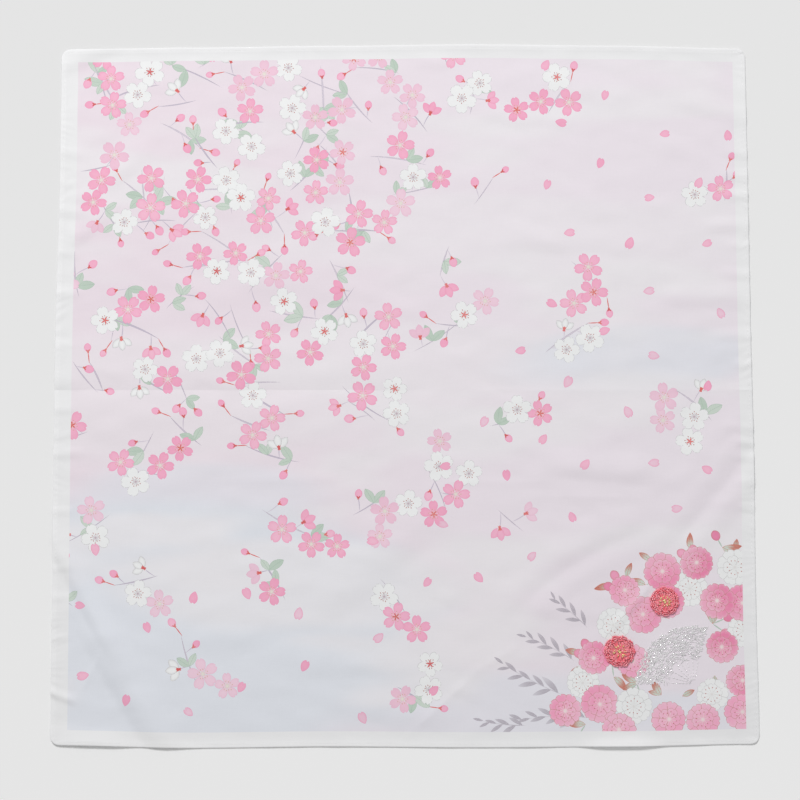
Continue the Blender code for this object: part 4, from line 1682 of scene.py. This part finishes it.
# The open fan: loose stitches between two arcs, more of them outwards, and a little further out where
# two pleats meet, and the running stitches of its ribs from its pivot up to the inner arc
FAN_X, FAN_Y = 176.0, -180.0
FAN_HEADING = math.radians(128)
FAN_HALF_ANGLE = math.radians(52)
FAN_INNER, FAN_OUTER, FAN_RIM = 14.0, 36.0, 1.5
FAN_PLEATS, PLEAT_REACH = 9, 0.06
FAN_STITCHES, OUTWARD_POWER, FAN_LEAN, FAN_STITCH_LENGTH = 1250, 0.75, 0.6, (1.4, 2.8)
FAN_LIFT, FAN_STRAY = np.array((0.02, 0.10, 0.10, 0.02)), 0.06
RIBS, RIB_SPREAD, RIB_START, RIB_PITCH, RIB_STITCH = 8, 0.96, 2.0, 2.0, 1.7
RIB_LIFT = np.array((-0.02, 0.14, 0.14, -0.02))


def silver_fan():
    """An open fan in loose metallic stitches, with a running stitch down each of its ribs."""
    random = np.random.default_rng(FAN_SEED)
    angles = either_way(random, 1, FAN_STITCHES) * FAN_HALF_ANGLE
    outward = random.uniform(0, 1, FAN_STITCHES) ** OUTWARD_POWER
    reach = np.sqrt(FAN_INNER ** 2 + ((FAN_OUTER - FAN_RIM) ** 2 - FAN_INNER ** 2) * outward)
    pleat = np.abs((angles / FAN_HALF_ANGLE + 1) * FAN_PLEATS / 2 % 1 - 0.5)
    reach *= 1 + PLEAT_REACH * pleat
    heading = FAN_HEADING + angles
    lean = heading + np.pi / 2 + random.normal(0, FAN_LEAN, FAN_STITCHES)
    length = random.uniform(*FAN_STITCH_LENGTH, FAN_STITCHES)
    lift = FAN_LIFT + random.uniform(0, FAN_STRAY, (FAN_STITCHES, 1))
    paths = [short_stitches(FAN_X, FAN_Y, heading, reach, lean, length, lift)]
    for rib in np.linspace(-RIB_SPREAD, RIB_SPREAD, RIBS) * FAN_HALF_ANGLE:
        starts = np.arange(RIB_START, FAN_INNER, RIB_PITCH)
        run = starts[:, None] + RIB_STITCH * (SHORT_STITCH + 0.5)
        paths.append(stitched(*turned(FAN_X, FAN_Y, FAN_HEADING + rib, run), RIB_LIFT))
    piece = thread_mesh("silver_fan", np.concatenate(paths), SILVER_RADIUS)
    silver = thread_finish("silver_thread", *SILVER_THREAD, foil=0.10, twist_depth=FOIL_DEPTH,
                           Roughness=0.22, Specular_IOR_Level=1.0, Coat_Weight=1.0)
    piece.data.materials.append(silver)
    return piece


# Camera, light and floor

CAMERA_ELEVATION = math.radians(83.7)
CAMERA_DISTANCE = 1.200
CAMERA_TARGET = (-2.25 * MM, -6.6 * MM, 0.0)
CAMERA_LENS, CAMERA_SENSOR = 87.4, 36.0


def add_camera():
    camera = bpy.data.objects.new("camera", bpy.data.cameras.new("camera"))
    camera.data.lens = CAMERA_LENS
    camera.data.sensor_width = CAMERA_SENSOR
    x, y, z = CAMERA_TARGET
    back, up = math.cos(CAMERA_ELEVATION), math.sin(CAMERA_ELEVATION)
    camera.location = (x, y - CAMERA_DISTANCE * back, z + CAMERA_DISTANCE * up)
    camera.rotation_euler = (math.pi / 2 - CAMERA_ELEVATION, 0, 0)
    bpy.context.scene.collection.objects.link(camera)
    bpy.context.scene.camera = camera


FLOOR_LOOK = dye(230, 230, 230)[0]
FLOOR_HALF, FLOOR_DROP = 3.0, 0.02 * MM
FILL_STRENGTH = 0.42
WINDOW_STRENGTH = 0.45
WINDOW_DISTANCE = 2.3
WINDOW_ELEVATION = math.radians(47)
WINDOW_AZIMUTH = math.radians(110)
WINDOW_SIZE = 0.6


def window_place():
    level = WINDOW_DISTANCE * math.cos(WINDOW_ELEVATION)
    return Vector((level * math.cos(WINDOW_AZIMUTH), level * math.sin(WINDOW_AZIMUTH),
                   WINDOW_DISTANCE * math.sin(WINDOW_ELEVATION)))


def floor_finish():
    """A matt table top that looks equally bright all over: paler where the window lights it less."""
    finish = Finish("floor", Roughness=1.0, Specular_IOR_Level=0.0)
    window = window_place()
    place = finish.node("ShaderNodeTexCoord", {}, {}, output=3)
    toward = finish.vector("SUBTRACT", tuple(window), place)
    apart = finish.dot(toward, toward)
    facing = finish.dot(toward, tuple(window.normalized()))
    window_light = facing * (WINDOW_STRENGTH * WINDOW_DISTANCE ** 3) / (apart * apart)
    look = FLOOR_LOOK / (window_light + FILL_STRENGTH)
    finish.feed("Base Color", finish.joined(look, look, look))
    return finish.material


def add_floor():
    """A plain pale table top."""
    mesh = bpy.data.meshes.new("floor")
    signs = ((-1, -1), (1, -1), (1, 1), (-1, 1))
    corners = [(x * FLOOR_HALF, y * FLOOR_HALF, -FLOOR_DROP) for x, y in signs]
    mesh.from_pydata(corners, [], [(0, 1, 2, 3)])
    floor = bpy.data.objects.new("floor", mesh)
    bpy.context.scene.collection.objects.link(floor)
    mesh.materials.append(floor_finish())


def add_light():
    """A soft window at the far left over an even fill."""
    world = bpy.data.worlds.new("studio")
    world.use_nodes = True
    world.node_tree.nodes["Background"].inputs["Color"].default_value = (1, 1, 1, 1)
    world.node_tree.nodes["Background"].inputs["Strength"].default_value = FILL_STRENGTH
    bpy.context.scene.world = world
    window = bpy.data.objects.new("window", bpy.data.lights.new("window", "AREA"))
    window.data.shape = "DISK"
    window.data.size = WINDOW_SIZE
    window.data.energy = WINDOW_STRENGTH * (math.pi * WINDOW_DISTANCE) ** 2 / math.sin(WINDOW_ELEVATION)
    window.location = window_place()
    window.rotation_euler = window.location.to_track_quat("Z", "Y").to_euler()
    bpy.context.scene.collection.objects.link(window)


def main():
    scene = bpy.context.scene
    scene.view_settings.view_transform = "Standard"
    add_camera()
    cloth = cloth_sheet()
    cloth.data.materials.append(cotton_lawn())
    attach(cloth, "root")
    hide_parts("cloth")
    threads = [hem_thread(), *embroidered_rosettes(), silver_fan()]
    for piece in threads:
        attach(piece, "root")
    add_floor()
    add_light()


main()
